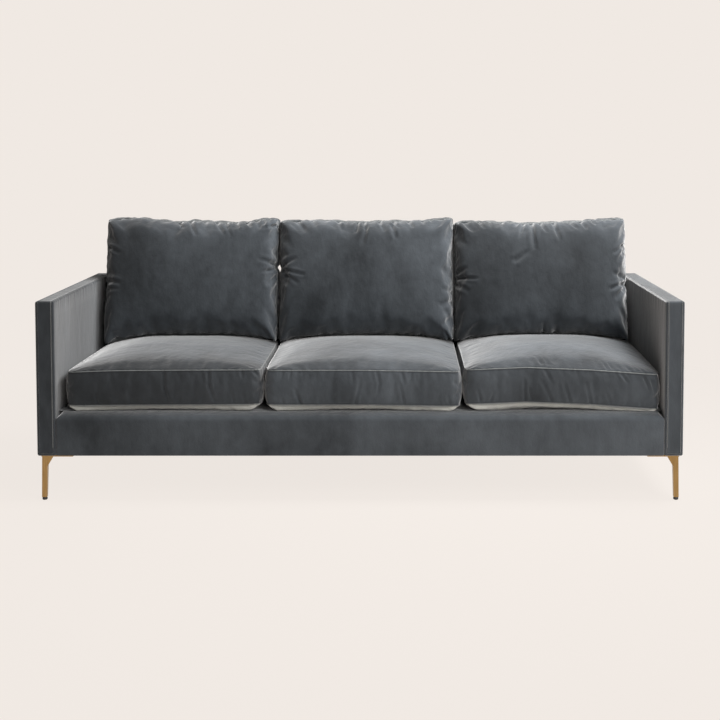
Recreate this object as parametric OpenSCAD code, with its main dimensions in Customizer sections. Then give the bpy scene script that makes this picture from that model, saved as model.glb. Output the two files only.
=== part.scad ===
// Three-seat tuxedo sofa with slim arms, loose box cushions and slender metal legs.
// Millimetres, +Z up, front towards -Y, origin on the floor under the centre of the sofa.

/* [Overall] */
// Width over both arms
sofa_w = 2134; // [1700:10:2500]
// Depth from the arm fronts to the outside back
sofa_d = 890; // [820:10:980]
// Height of the arms and of the back frame above the floor
arm_h = 664; // [600:2:740]
// Clear height under the sofa
leg_h = 150; // [110:5:200]

/* [Arms and back] */
// Finished thickness of an arm
arm_t = 62; // [56:1:90]
// Finished thickness of the back at its top
back_t = 120; // [100:2:150]
// Lean of the inside back and of the back cushions, in degrees
lean = 13; // [8:1:16]
// Rounding of the upholstered edges
edge_r = 10; // [6:1:14]

/* [Layers] */
// Thickness of the velvet
fabric_t = 1.5; // [1:0.1:2.5]
// Foam over the arm boards and over the front rail
pad_t = 8; // [5:1:10]
// Foam over the inside back
back_pad_t = 20; // [12:1:30]
// Hardboard on the arms and on the outside back
board_t = 4; // [3:0.5:6]
// Thickness of the black cloth under the sofa
cambric_t = 0.8; // [0.5:0.1:1.2]

/* [Timber] */
// Thickness of the rails, planks and uprights
timber_t = 30; // [26:1:34]
// Height of the seat rails
rail_h = 122; // [100:1:140]
// Depth of an arm post, front to back
post_d = 60; // [45:1:80]
// Height of the rail along the foot of an arm
foot_rail_h = 80; // [65:1:100]
// Leg length of a triangular corner block
block_leg = 80; // [70:1:110]
// Height of a corner block
block_h = 60; // [40:1:90]
// Height of the rail that the inside back is tacked to
tack_h = 30; // [20:1:40]
// Number of uprights in the back
upright_count = 5; // [4:1:7]
// Number of cross members under the springs
stretcher_count = 2; // [1:1:4]

/* [Springs and webbing] */
// Number of sinuous springs
spring_count = 12; // [10:1:16]
// Wire diameter of a sinuous spring
wire_d = 3.6; // [3:0.1:4.5]
// Distance between two neighbouring runs of a spring
spring_pitch = 28; // [24:1:32]
// Length of the straight part of a run
spring_run = 30; // [24:1:40]
// Sheet thickness of a spring clip
clip_t = 1.2; // [0.8:0.1:1.6]
// Length of a spring clip
clip_l = 20; // [14:1:26]
// Thickness of the pad on the springs
deck_pad_t = 12; // [8:1:18]
// Width of a webbing strap
strap_w = 60; // [50:1:70]
// Thickness of a webbing strap
strap_t = 1; // [0.8:0.1:1.5]
// Number of level straps in the back
level_strap_count = 3; // [2:1:4]

/* [Front rail cover] */
// Set-back of the front rail cover from the arm fronts
front_setback = 2; // [1:1:10]
// Depth of the padded roll on top of the front rail
roll_d = 48; // [42:1:60]
// Radius of the front edge of that roll
roll_r = 14; // [8:1:16]

/* [Seat cushions] */
// Height of the band around a seat cushion
seat_band = 118; // [90:2:130]
// Rise of the top of a seat cushion above its band
seat_crown = 50; // [30:2:60]
// Roll of the underside below the band
seat_roll = 20; // [10:1:26]
// Set-back of the seat cushions from the arm fronts
seat_setback = 30; // [20:1:50]
// Space between two neighbouring cushions
cushion_gap = 4; // [3:0.5:8]
// Space between the outer cushions and the arms
arm_gap = 11; // [6:1:20]
// Space between the seat cushions and the inside back
seat_back_gap = 4; // [3:0.5:10]

/* [Back cushions] */
// Height of a back cushion along its lean
back_len = 428; // [380:2:480]
// Width of the band around a back cushion
back_band = 110; // [80:2:120]
// Rise of the front of a back cushion above its band
back_crown = 60; // [40:2:70]
// Roll of its rear face behind the band
back_roll = 25; // [15:1:30]
// Space between the outer back cushions and the arms
back_arm_gap = 17; // [10:1:24]
// Clearance between a back cushion and the seat cushion under it
sit_gap = 1; // [0.5:0.1:2]

/* [Cushion form] */
// Amount that the sides of a cushion are drawn in between its corners
draw_in = 7; // [4:1:12]
// Bulge of a cushion's band beyond its seams
bulge = 5; // [3:1:8]
// Squareness of a cushion's corners
squareness = 24; // [12:1:30]
// Grid steps across a cushion
cushion_steps = 8; // [6:2:8]

/* [Zip] */
// Length of the zip in the rear band of a seat cushion
zip_l = 540; // [400:10:560]
// Width of the zip tape
zip_w = 28; // [22:1:34]
// Thickness of the zip tape
tape_t = 1.2; // [0.8:0.1:1.5]
// Height of the closed teeth
teeth_w = 5; // [4:0.5:7]
// Thickness of the closed teeth
teeth_t = 2; // [1.5:0.1:2.5]
// Length of the zip slider
slider_l = 14; // [10:1:18]
// Height of the zip slider
slider_w = 11; // [10:0.5:14]
// Depth of the zip slider
slider_d = 6; // [5:0.5:7]
// Length of the pull that hangs from the slider
pull_l = 28; // [20:1:34]

/* [Legs] */
// Side of the square mounting plate
plate_w = 105; // [100:1:115]
// Thickness of the mounting plate
plate_t = 4; // [3:0.5:6]
// Distance from a plate hole to the edges of the plate
hole_inset = 19; // [16:1:20]
// Distance from the plate to the outer faces of the arm
plate_inset = 11; // [8:1:13]
// Width of the leg bar at its top
bar_top = 18; // [15:1:22]
// Width of the leg bar at its foot
bar_foot = 16; // [14:1:20]
// Distance that the foot of the bar stands outside its top
foot_out = 2; // [0:1:3]
// Reach of the gussets along the plate
gusset_w = 19; // [12:1:26]
// Height of the gussets
gusset_h = 32; // [20:1:45]
// Thickness of the gussets
gusset_t = 5; // [4:0.5:8]
// Diameter of a foot glide
glide_d = 17; // [15:0.5:20]
// Height of a foot glide
glide_h = 10; // [7:0.5:14]
// Diameter of the stem of a glide
stem_d = 6; // [5:0.5:8]
// Length of the stem of a glide
stem_l = 16; // [10:1:24]

/* [Fasteners] */
// Shank diameter of a leg screw
screw_d = 5; // [4:0.5:6]
// Length of a leg screw under its head
screw_l = 32; // [25:1:40]
// Head diameter of a leg screw
screw_head_d = 9.5; // [8:0.5:12]
// Head height of a leg screw
screw_head_h = 3; // [2:0.5:4]
// Shank diameter of an arm bolt
bolt_d = 8; // [6:1:10]
// Width across the flats of a bolt head
bolt_head_w = 13; // [10:1:17]
// Height of a bolt head
bolt_head_h = 5.5; // [4:0.5:7]
// Height of the arm bolts above the underside
bolt_z = 55; // [45:1:62]
// Distance from the middle of the arm to an arm bolt
bolt_y = 200; // [120:10:260]

/* [Hidden] */
// Running clearance of a fastener or stem in its hole, on the radius
fit = 0.1;
// Gap that a soft piece keeps from what it rests on
rest_gap = 0.3;
// Overrun of a cut past the face it opens
over = 1;
// Segments in the arc of a rounded edge
arc_steps = 6;
// How soon the underside of a cushion lies flat, as a factor on its crown
flat_share = 2.2;
// Powers that shape a cushion's crown: how square its plateau is, and how steep its shoulders
plateau_power = 2.4;
shoulder_power = 0.7;
// Place of the inner hole of a leg plate, along its diagonal
mid_share = 0.35;
// Places of the level straps up the inside back
strap_low_share = 0.2;
strap_step_share = 0.27;
// Clearance of the leg bar from the front edge of its plate
bar_inset = 2;
// Thickness of a zip pull
pull_t = 1.2;
// Width of a zip pull
pull_w = 7;
// Distance from the end of an upright strap to the edge of its rail
strap_end = 5;

// Derived places, overall
half_w = sofa_w / 2;
half_d = sofa_d / 2;
well_x = half_w - arm_t;
layer_t = fabric_t + pad_t;
core_in = layer_t + board_t;
core_t = arm_t - 2 * core_in;
rail_z = leg_h + cambric_t;
rail_top = rail_z + rail_h;
plank_top = arm_h - max(layer_t, edge_r);
plank_z = plank_top - timber_t;

// Derived places, front to back
front_y = -half_d + front_setback;
front_rail_y = front_y + layer_t;
front_rail_end = front_rail_y + timber_t;
roll_end = front_y + roll_d;
rear_face = half_d - fabric_t - board_t;
rear_rail_y = rear_face - timber_t;
back_top_y = half_d - back_t;
function inside_back_y(z) = back_top_y - (arm_h - z) * tan(lean);

// Derived heights of the deck
clip_h = wire_d + 2 * clip_t + 2 * fit;
clip_room_z = rail_top + clip_h + rest_gap;
wire_z = rail_top + clip_h / 2;
deck_pad_z = wire_z + wire_d / 2 + rest_gap;
deck_cloth_z = deck_pad_z + deck_pad_t;
deck_top = deck_cloth_z + fabric_t;
deck_end = inside_back_y(deck_pad_z) - rest_gap;

// Derived places of the seat cushions
seat_z = deck_top + rest_gap;
seat_front = -half_d + seat_setback;
seat_rear = inside_back_y(deck_top) - seat_back_gap;
seat_d = seat_rear - seat_front;
seat_y = (seat_front + seat_rear) / 2;
seat_w = (2 * (well_x - arm_gap) - 2 * cushion_gap) / 3;
seat_top_seam = seat_z + seat_roll + seat_band;
seat_band_mid = seat_z + seat_roll + seat_band / 2;
zip_y = seat_rear + fit;
slider_y = zip_y + tape_t + rest_gap;

// Derived places of the back cushions
back_w = (2 * (well_x - back_arm_gap) - 2 * cushion_gap) / 3;
band_end = back_roll + back_band;
function seat_share(y) = min(1, abs(y - seat_y) / (seat_d / 2));
function seat_height(y) = seat_top_seam + seat_crown * crown_share(0, seat_share(y));
function back_foot_y(z, w) = inside_back_y(z) - w * cos(lean);
sit_guess = seat_top_seam;
sit_rise = max([for (w = [back_roll:back_crown / 8:band_end + back_crown / 2])
    seat_height(back_foot_y(sit_guess, w)) - w * sin(lean)]);
back_z = sit_rise + sit_gap;
back_y = inside_back_y(back_z);

// Derived places of the legs
plate_x = half_w - plate_inset;
plate_y = half_d - plate_inset;
plate_holes = [for (p = [[1, 0], [0, 1], [0, 0], [mid_share, mid_share]])
    [plate_x, plate_y] + (plate_w - 2 * hole_inset) * p - (plate_w - hole_inset) * [1, 1]];
bar_top_z = leg_h - plate_t;

// Outlines

function arc(centre, r, from, to) =
    [for (k = [0:arc_steps])
        centre + r * [cos(from + (to - from) * k / arc_steps), sin(from + (to - from) * k / arc_steps)]];

// A rectangle between two corners, with all four corners rounded
function round_box(low, high, r) = concat(
    arc([high[0] - r, low[1] + r], r, -90, 0),
    arc([high[0] - r, high[1] - r], r, 0, 90),
    arc([low[0] + r, high[1] - r], r, 90, 180),
    arc([low[0] + r, low[1] + r], r, 180, 270)
);

// The back from the side, as [y, z]: upright behind, leaning in front, rounded on top
function back_outline(rear, top, front, r, low_front, low_rear) =
    let (
        front_at = function (z) front - (arm_h - z) * tan(lean),
        lean_y = front_at(top) + r * (1 - sin(lean)) / cos(lean)
    )
    concat(
        [[rear, low_rear]],
        arc([rear - r, top - r], r, 0, 90),
        arc([lean_y, top - r], r, 90, 180 - lean),
        [[front_at(low_front), low_front]]
    );

// Pulls a [y, z] outline along X, from one place to another
module along_x(from, to) {
    translate([from, 0, 0])
        rotate([90, 0, 90])
            linear_extrude(height = to - from)
                children();
}

// Pulls an [x, z] outline along Y, from one place to another
module along_y(from, to) {
    translate([0, to, 0])
        rotate([90, 0, 0])
            linear_extrude(height = to - from)
                children();
}

module box(low, high) {
    translate(low)
        cube(high - low);
}

// Keeps the right-hand shape, or turns it into the left-hand one
module side(s) {
    mirror([s < 0 ? 1 : 0, 0, 0])
        children();
}

// Cushion form

// Height of the crown at a point of the unit square: 1 in the middle, 0 at the seam
function crown_share(u, v) =
    pow((1 - pow(abs(u), plateau_power)) * (1 - pow(abs(v), plateau_power)), shoulder_power);

function grid_place(k) = sin(90 * (2 * k / cushion_steps - 1));

// A point of the unit square, moved onto a square with round corners
function round_place(u, v) =
    let (
        ring = max(abs(u), abs(v)),
        norm = pow(pow(abs(u), squareness) + pow(abs(v), squareness), 1 / squareness)
    )
    ring == 0 ? [0, 0] : [u, v] * ring / norm;

// Half sizes hx and hy, less the seam's inset and what is drawn in between the corners
function plan_place(p, hx, hy, inset, drawn) =
    [p[0] * (hx - inset - drawn * (1 - p[1] * p[1])), p[1] * (hy - inset - drawn * (1 - p[0] * p[0]))];

function rim_cell(k) =
    let (n = cushion_steps, s = floor(k / n), m = k % n)
    s == 0 ? [m, 0] : s == 1 ? [n, m] : s == 2 ? [n - m, n] : [0, n - m];

// A boxed cushion that rests on z = 0, centred on the origin, set in by t on every side
module cushion_form(w, d, band, crown, roll, t) {
    n = cushion_steps;
    hx = w / 2 - t;
    hy = d / 2 - t;
    low = roll;
    high = roll + band;
    face = [for (i = [0:n]) for (j = [0:n]) [grid_place(i), grid_place(j)]];
    top = [for (p = face)
        let (q = plan_place(round_place(p[0], p[1]), hx, hy, bulge, draw_in))
        [q[0], q[1], high - t + crown * crown_share(p[0], p[1])]];
    bottom = [for (p = face)
        let (q = plan_place(round_place(p[0], p[1]), hx, hy, bulge, draw_in))
        [q[0], q[1], low + t - roll * min(1, flat_share * crown_share(p[0], p[1]))]];
    rim = [for (k = [0:4 * n - 1])
        let (c = rim_cell(k), p = [grid_place(c[0]), grid_place(c[1])])
        round_place(p[0], p[1])];
    band_rows = [for (s = [0.75, 0.25]) for (p = rim)
        let (q = plan_place(p, hx, hy, 0, 0))
        [q[0], q[1], low + t + (band - 2 * t) * s]];
    size = (n + 1) * (n + 1);
    top_at = function (i, j) i * (n + 1) + j;
    rim_at = function (row, k)
        let (m = k % (4 * n), c = rim_cell(m))
        row == 0 ? top_at(c[0], c[1])
        : row == 3 ? size + top_at(c[0], c[1])
        : 2 * size + (row - 1) * 4 * n + m;
    top_faces = [for (i = [0:n - 1]) for (j = [0:n - 1]) each
        [[top_at(i, j), top_at(i, j + 1), top_at(i + 1, j + 1)],
         [top_at(i, j), top_at(i + 1, j + 1), top_at(i + 1, j)]]];
    bottom_faces = [for (f = top_faces) [size + f[0], size + f[2], size + f[1]]];
    band_faces = [for (row = [0:2]) for (k = [0:4 * n - 1]) each
        [[rim_at(row, k), rim_at(row, k + 1), rim_at(row + 1, k + 1)],
         [rim_at(row, k), rim_at(row + 1, k + 1), rim_at(row + 1, k)]]];
    polyhedron(concat(top, bottom, band_rows), concat(top_faces, bottom_faces, band_faces));
}

// Base frame

module front_rail() {
    color("burlywood")
        difference() {
            box([-well_x, front_rail_y, rail_z], [well_x, front_rail_end, rail_top]);
            leg_screw_holes();
        }
}

module rear_rail() {
    color("burlywood")
        difference() {
            box([-well_x, rear_rail_y, rail_z], [well_x, rear_face, rail_top]);
            leg_screw_holes();
        }
}

module side_rail(s) {
    color("burlywood")
        difference() {
            side(s)
                box([well_x - timber_t, front_rail_end, rail_z], [well_x, rear_rail_y, rail_top]);
            leg_screw_holes();
            bolt_holes();
        }
}

module seat_stretchers() {
    step = 2 * well_x / (stretcher_count + 1);
    for (k = [1:stretcher_count])
        color("burlywood")
            translate([-well_x + k * step - timber_t / 2, front_rail_end, rail_z])
                cube([timber_t, rear_rail_y - front_rail_end, rail_h - timber_t]);
}

module corner_block() {
    linear_extrude(height = block_h)
        polygon([[0, 0], [block_leg, 0], [0, block_leg]]);
}

module corner_blocks() {
    inner_x = well_x - timber_t;
    color("tan")
        difference() {
            for (s = [-1, 1])
                side(s) {
                    translate([inner_x, front_rail_end, rail_z])
                        rotate([0, 0, 90])
                            corner_block();
                    translate([inner_x, rear_rail_y, rail_z])
                        rotate([0, 0, 180])
                            corner_block();
                }
            leg_screw_holes();
        }
}

// Arm

post_x = half_w - core_in - core_t;
post_front = -half_d + layer_t;
post_rear = half_d - layer_t;
post_z = leg_h + fabric_t;

module arm_post(s, y) {
    color("burlywood")
        difference() {
            side(s)
                box([post_x, y, post_z], [post_x + core_t, y + post_d, plank_z]);
            leg_screw_holes();
        }
}

module arm_top_rail(s) {
    color("burlywood")
        side(s)
            box([post_x, post_front, plank_z], [post_x + core_t, post_rear, plank_top]);
}

module arm_foot_rail(s) {
    color("burlywood")
        difference() {
            side(s)
                box([post_x, post_front + post_d, post_z],
                    [post_x + core_t, post_rear - post_d, post_z + foot_rail_h]);
            leg_screw_holes();
            bolt_holes();
        }
}

module arm_boards(s) {
    color("peru")
        difference() {
            for (x = [post_x - board_t, post_x + core_t])
                side(s)
                    box([x, post_front, leg_h + edge_r], [x + board_t, post_rear, plank_top]);
            bolt_holes();
        }
}

module arm_outline(t) {
    polygon(round_box([well_x + t, leg_h + t], [half_w - t, arm_h - t], edge_r - t));
}

module arm_padding(s) {
    color("khaki")
        difference() {
            side(s)
                difference() {
                    along_y(-half_d + fabric_t, half_d - fabric_t)
                        arm_outline(fabric_t);
                    box([post_x - board_t, post_front, leg_h],
                        [post_x + core_t + board_t, post_rear, plank_top]);
                }
            bolt_holes();
        }
}

module arm_cover(s) {
    color("dimgray")
        difference() {
            side(s)
                difference() {
                    along_y(-half_d, half_d)
                        arm_outline(0);
                    along_y(-half_d + fabric_t, half_d - fabric_t)
                        arm_outline(fabric_t);
                }
            leg_screw_holes();
            bolt_holes();
        }
}

// Back

web_t = 2 * strap_t + 3 * fit;
wood_front = back_top_y + (fabric_t + back_pad_t + web_t) / cos(lean);
function wood_y(z) = wood_front - (arm_h - z) * tan(lean);
tack_top = deck_cloth_z + tack_h;
tack_rear = wood_y(tack_top) + timber_t;

module back_top_rail() {
    color("burlywood")
        along_x(-well_x, well_x)
            polygon([
                [rear_face, plank_z],
                [rear_face, plank_top],
                [wood_y(plank_top), plank_top],
                [wood_y(plank_z), plank_z]
            ]);
}

module back_tacking_rail() {
    color("burlywood")
        along_x(-well_x, well_x)
            polygon([
                [tack_rear, deck_cloth_z],
                [tack_rear, tack_top],
                [wood_y(tack_top), tack_top],
                [wood_y(deck_cloth_z), deck_cloth_z]
            ]);
}

module back_uprights() {
    step = (2 * well_x - timber_t) / (upright_count - 1);
    outline = [
        [rear_face, rail_top],
        [rear_face, plank_z],
        [wood_y(plank_z), plank_z],
        [wood_y(tack_top), tack_top],
        [tack_rear, tack_top],
        [tack_rear, deck_cloth_z],
        [rear_rail_y, deck_cloth_z],
        [rear_rail_y, rail_top]
    ];
    for (k = [0:upright_count - 1])
        color("burlywood")
            along_x(-well_x + k * step, -well_x + k * step + timber_t)
                polygon(outline);
}

// Stands on the leaning face of the timber, with Z up the slope and -Y out of it
module on_timber_face() {
    translate([0, wood_y(deck_cloth_z), deck_cloth_z])
        rotate([-lean, 0, 0])
            children();
}

// Level straps on the timber, and upright straps in front of them
module back_webbing() {
    slope_l = (plank_top - deck_cloth_z) / cos(lean);
    bay_w = (2 * well_x - timber_t) / (upright_count - 1);
    first_x = (bay_w + timber_t - strap_w) / 2 - well_x;
    color("sienna")
        on_timber_face() {
            for (k = [0:level_strap_count - 1])
                translate([-well_x, -fit - strap_t, slope_l * (strap_low_share + k * strap_step_share)])
                    cube([2 * well_x, strap_t, strap_w]);
            for (k = [0:upright_count - 2])
                translate([first_x + k * bay_w, fit - web_t, strap_end])
                    cube([strap_w, strap_t, slope_l - 2 * strap_end]);
        }
}

module back_panel() {
    color("peru")
        box([-well_x, rear_face, rail_z], [well_x, half_d - fabric_t, plank_top]);
}

module back_padding() {
    color("khaki")
        difference() {
            along_x(-well_x, well_x)
                polygon(back_outline(half_d - fabric_t, arm_h - fabric_t, back_top_y + (fabric_t + fit) / cos(lean),
                    edge_r - fabric_t, deck_pad_z, deck_pad_z));
            along_x(-well_x - over, well_x + over)
                polygon([
                    [half_d, leg_h],
                    [half_d, plank_top],
                    [wood_y(plank_top) - web_t / cos(lean), plank_top],
                    [wood_y(leg_h) - web_t / cos(lean), leg_h]
                ]);
        }
}

module back_cover() {
    color("dimgray")
        difference() {
            along_x(-well_x, well_x)
                polygon(back_outline(half_d, arm_h, back_top_y, edge_r, deck_pad_z + fabric_t, leg_h));
            along_x(-well_x - over, well_x + over)
                polygon(back_outline(half_d - fabric_t, arm_h - fabric_t, back_top_y + fabric_t / cos(lean),
                    edge_r - fabric_t, leg_h - over, leg_h - over));
        }
}

// Springs and deck

spring_span = rear_rail_y + timber_t / 2 - front_rail_end + timber_t / 2;
spring_loops = floor(spring_span / spring_pitch);
spring_front = (front_rail_end + rear_rail_y - spring_loops * spring_pitch) / 2;
spring_step = 2 * (well_x - timber_t - spring_run - spring_pitch) / (spring_count - 1);
function spring_x(k) = (k - (spring_count - 1) / 2) * spring_step;

function wire_side(j) = j % 2 == 0 ? 1 : -1;

// A straight run of the wire along X
module wire_run() {
    translate([-spring_run / 2, 0, 0])
        rotate([0, 90, 0])
            cylinder(d = wire_d, h = spring_run, $fn = 16);
}

// A half ring of the wire that joins a run to the next one
module wire_bend(j) {
    translate([wire_side(j) * spring_run / 2, spring_pitch / 2, 0])
        rotate([0, 0, -90 * wire_side(j)])
            rotate_extrude(angle = 180, $fn = 32)
                translate([spring_pitch / 2, 0])
                    circle(d = wire_d, $fn = 16);
}

// Each spring is one wire, bent to and fro from the front rail to the rear rail
module seat_springs() {
    color("silver")
        for (k = [0:spring_count - 1], j = [0:spring_loops])
            translate([spring_x(k), spring_front + j * spring_pitch, wire_z]) {
                wire_run();
                if (j < spring_loops)
                    wire_bend(j);
            }
}

// A folded clip, open towards the middle of the seat, that holds the last run of a spring
module spring_clip() {
    slot = wire_d + 2 * fit;
    translate([-clip_l / 2, -slot / 2 - clip_t, -clip_h / 2])
        difference() {
            cube([clip_l, clip_t + 2 * slot, clip_h]);
            translate([-over, clip_t, clip_t])
                cube([clip_l + 2 * over, 2 * slot, slot]);
        }
}

module spring_clips() {
    color("gray")
        for (k = [0:spring_count - 1])
            translate([spring_x(k), 0, wire_z]) {
                translate([0, spring_front, 0])
                    spring_clip();
                translate([0, spring_front + spring_loops * spring_pitch, 0])
                    rotate([0, 0, 180])
                        spring_clip();
            }
}

module deck_padding() {
    color("khaki")
        box([-well_x, roll_end, deck_pad_z], [well_x, deck_end, deck_cloth_z]);
}

module deck_cloth() {
    color("dimgray")
        box([-well_x, roll_end, deck_cloth_z], [well_x, deck_end, deck_top]);
}

// The front rail's upholstery from the side, down to the underside, set in by t
function roll_face(t) = concat(
    arc([front_y + roll_r, deck_top - roll_r], roll_r - t, 90, 180),
    [[front_y + t, leg_h]]
);

module front_rail_padding() {
    color("khaki")
        difference() {
            along_x(-well_x, well_x)
                polygon(concat(
                    [[roll_end, leg_h], [roll_end, deck_top - fabric_t]],
                    roll_face(fabric_t)
                ));
            box([-well_x - over, front_rail_y, leg_h - over], [well_x + over, half_d, clip_room_z]);
        }
}

module front_rail_cover() {
    inner = roll_face(fabric_t);
    color("dimgray")
        along_x(-well_x, well_x)
            polygon(concat(
                [[roll_end, deck_top]],
                roll_face(0),
                [for (k = [len(inner) - 1:-1:0]) inner[k]],
                [[roll_end, deck_top - fabric_t]]
            ));
}

module dust_cover() {
    color("black")
        difference() {
            box([-well_x, front_rail_y, leg_h], [well_x, half_d - fabric_t, rail_z]);
            leg_screw_holes();
        }
}

// Legs and fasteners

module at_corners() {
    for (s = [-1, 1])
        for (t = [-1, 1])
            mirror([s < 0 ? 1 : 0, 0, 0])
                mirror([0, t < 0 ? 1 : 0, 0])
                    children();
}

module at_leg_screws() {
    at_corners()
        for (p = plate_holes)
            translate([p[0], p[1], bar_top_z])
                children();
}

module leg_screw_holes() {
    at_leg_screws()
        cylinder(r = screw_d / 2 + fit, h = plate_t + screw_l + fit, $fn = 32);
}

// The leg at the right-hand rear corner; the others mirror it
module leg() {
    bar_x = half_w - plate_inset - bar_inset;
    bar_y = half_d - plate_inset - bar_inset;
    difference() {
        union() {
            box([plate_x - plate_w, plate_y - plate_w, bar_top_z], [plate_x, plate_y, leg_h]);
            intersection() {
                along_y(bar_y - 2 * bar_top, bar_y + over + foot_out)
                    polygon(bar_outline(bar_x));
                along_x(bar_x - 2 * bar_top, bar_x + over + foot_out)
                    polygon(bar_outline(bar_y));
            }
            along_y(bar_y - gusset_t, bar_y - over)
                gusset_outline(bar_x - bar_top);
            along_x(bar_x - gusset_t, bar_x - over)
                gusset_outline(bar_y - bar_top);
        }
        leg_screw_holes();
        translate([bar_x + foot_out - bar_foot / 2, bar_y + foot_out - bar_foot / 2, glide_h - over])
            cylinder(r = stem_d / 2 + fit, h = stem_l + over + fit, $fn = 32);
    }
}

function bar_outline(outer) = [
    [outer + foot_out - bar_foot, glide_h],
    [outer + foot_out, glide_h],
    [outer, bar_top_z],
    [outer - bar_top, bar_top_z]
];

module gusset_outline(inner) {
    polygon([
        [inner + bar_inset, bar_top_z],
        [inner - gusset_w, bar_top_z],
        [inner, bar_top_z - gusset_h],
        [inner + bar_inset, bar_top_z - gusset_h]
    ]);
}

module placed_leg(s, t) {
    color("darkgoldenrod")
        mirror([s < 0 ? 1 : 0, 0, 0])
            mirror([0, t < 0 ? 1 : 0, 0])
                leg();
}

module leg_glides() {
    bar_x = half_w - plate_inset - bar_inset + foot_out - bar_foot / 2;
    bar_y = half_d - plate_inset - bar_inset + foot_out - bar_foot / 2;
    soft_r = glide_h / 3;
    color("black")
        at_corners()
            translate([bar_x, bar_y, 0])
                rotate_extrude($fn = 48)
                    polygon(concat(
                        [[0, 0]],
                        arc([glide_d / 2 - soft_r, soft_r], soft_r, -90, 0),
                        arc([glide_d / 2 - soft_r, glide_h - soft_r], soft_r, 0, 90),
                        [[stem_d / 2, glide_h], [stem_d / 2, glide_h + stem_l], [0, glide_h + stem_l]]
                    ));
}

module leg_screws() {
    color("silver")
        at_leg_screws() {
            translate([0, 0, -screw_head_h])
                cylinder(d = screw_head_d, h = screw_head_h, $fn = 32);
            cylinder(d = screw_d, h = plate_t + screw_l, $fn = 32);
        }
}

module at_bolts() {
    for (s = [-1, 1])
        for (t = [-1, 1])
            side(s)
                translate([well_x - timber_t, t * bolt_y, leg_h + bolt_z])
                    rotate([0, 90, 0])
                        children();
}

bolt_l = timber_t + core_in + core_t * 3 / 4;

module bolt_holes() {
    at_bolts()
        translate([0, 0, -over])
            cylinder(r = bolt_d / 2 + fit, h = bolt_l + fit + over, $fn = 32);
}

module arm_bolts() {
    color("silver")
        at_bolts() {
            translate([0, 0, -bolt_head_h])
                cylinder(d = bolt_head_w / cos(30), h = bolt_head_h, $fn = 6);
            cylinder(d = bolt_d, h = bolt_l, $fn = 32);
        }
}

// Seat cushions, numbered -1, 0 and 1 from left to right

module at_seat(k) {
    translate([k * (seat_w + cushion_gap), seat_y, seat_z])
        children();
}

module seat_form(t) {
    cushion_form(seat_w, seat_d, seat_band, seat_crown, seat_roll, t);
}

module seat_cover(k) {
    color("slategray")
        at_seat(k)
            difference() {
                seat_form(0);
                seat_form(fabric_t);
            }
}

module seat_core(k) {
    color("ivory")
        at_seat(k)
            seat_form(fabric_t + rest_gap);
}

module seat_zip(k) {
    x = k * (seat_w + cushion_gap);
    color("dimgray")
        translate([x, zip_y, seat_band_mid]) {
            box([-zip_l / 2, 0, -zip_w / 2], [zip_l / 2, tape_t, zip_w / 2]);
            box([-zip_l / 2, 0, -teeth_w / 2], [zip_l / 2, tape_t + teeth_t, teeth_w / 2]);
        }
}

module zip_slider(k) {
    x = k * (seat_w + cushion_gap) - zip_l / 2;
    groove = teeth_w + 2 * rest_gap;
    color("silver")
        translate([x, slider_y, seat_band_mid])
            union() {
                difference() {
                    box([0, 0, -slider_w / 2], [slider_l, slider_d, slider_w / 2]);
                    box([-over, -over, -groove / 2], [slider_l + over, teeth_t, groove / 2]);
                }
                translate([(slider_l - pull_w) / 2, slider_d - pull_t, -slider_w / 2 - pull_l])
                    cube([pull_w, pull_t, pull_l + slider_w / 2]);
            }
}

// Back cushions, numbered the same way

module at_back(k) {
    translate([k * (back_w + cushion_gap), back_y, back_z])
        rotate([90 - lean, 0, 0])
            translate([0, back_len / 2, rest_gap])
                children();
}

module back_form(t) {
    cushion_form(back_w, back_len, back_band, back_crown, back_roll, t);
}

module back_cushion_cover(k) {
    color("slategray")
        at_back(k)
            difference() {
                back_form(0);
                back_form(fabric_t);
            }
}

module back_core(k) {
    color("ivory")
        at_back(k)
            back_form(fabric_t + rest_gap);
}

front_rail();
rear_rail();
side_rail(-1);  // left_side_rail
side_rail(1);  // right_side_rail
seat_stretchers();
corner_blocks();
arm_post(-1, post_front);  // left_arm_front_post
arm_post(-1, post_rear - post_d);  // left_arm_rear_post
arm_top_rail(-1);  // left_arm_top_rail
arm_foot_rail(-1);  // left_arm_foot_rail
arm_boards(-1);  // left_arm_boards
arm_padding(-1);  // left_arm_padding
arm_cover(-1);  // left_arm_cover
arm_post(1, post_front);  // right_arm_front_post
arm_post(1, post_rear - post_d);  // right_arm_rear_post
arm_top_rail(1);  // right_arm_top_rail
arm_foot_rail(1);  // right_arm_foot_rail
arm_boards(1);  // right_arm_boards
arm_padding(1);  // right_arm_padding
arm_cover(1);  // right_arm_cover
back_top_rail();
back_tacking_rail();
back_uprights();
back_webbing();
back_panel();
back_padding();
back_cover();
seat_springs();
spring_clips();
deck_padding();
deck_cloth();
front_rail_padding();
front_rail_cover();
dust_cover();
placed_leg(-1, -1);  // front_left_leg
placed_leg(1, -1);  // front_right_leg
placed_leg(-1, 1);  // rear_left_leg
placed_leg(1, 1);  // rear_right_leg
leg_glides();
leg_screws();
arm_bolts();
seat_cover(-1);  // seat_cover_left
seat_cover(0);  // seat_cover_centre
seat_cover(1);  // seat_cover_right
seat_core(-1);  // seat_core_left
seat_core(0);  // seat_core_centre
seat_core(1);  // seat_core_right
seat_zip(-1);  // seat_zip_left
seat_zip(0);  // seat_zip_centre
seat_zip(1);  // seat_zip_right
zip_slider(-1);  // zip_slider_left
zip_slider(0);  // zip_slider_centre
zip_slider(1);  // zip_slider_right
back_cushion_cover(-1);  // back_cover_left
back_cushion_cover(0);  // back_cover_centre
back_cushion_cover(1);  // back_cover_right
back_core(-1);  // back_core_left
back_core(0);  // back_core_centre
back_core(1);  // back_core_right
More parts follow.
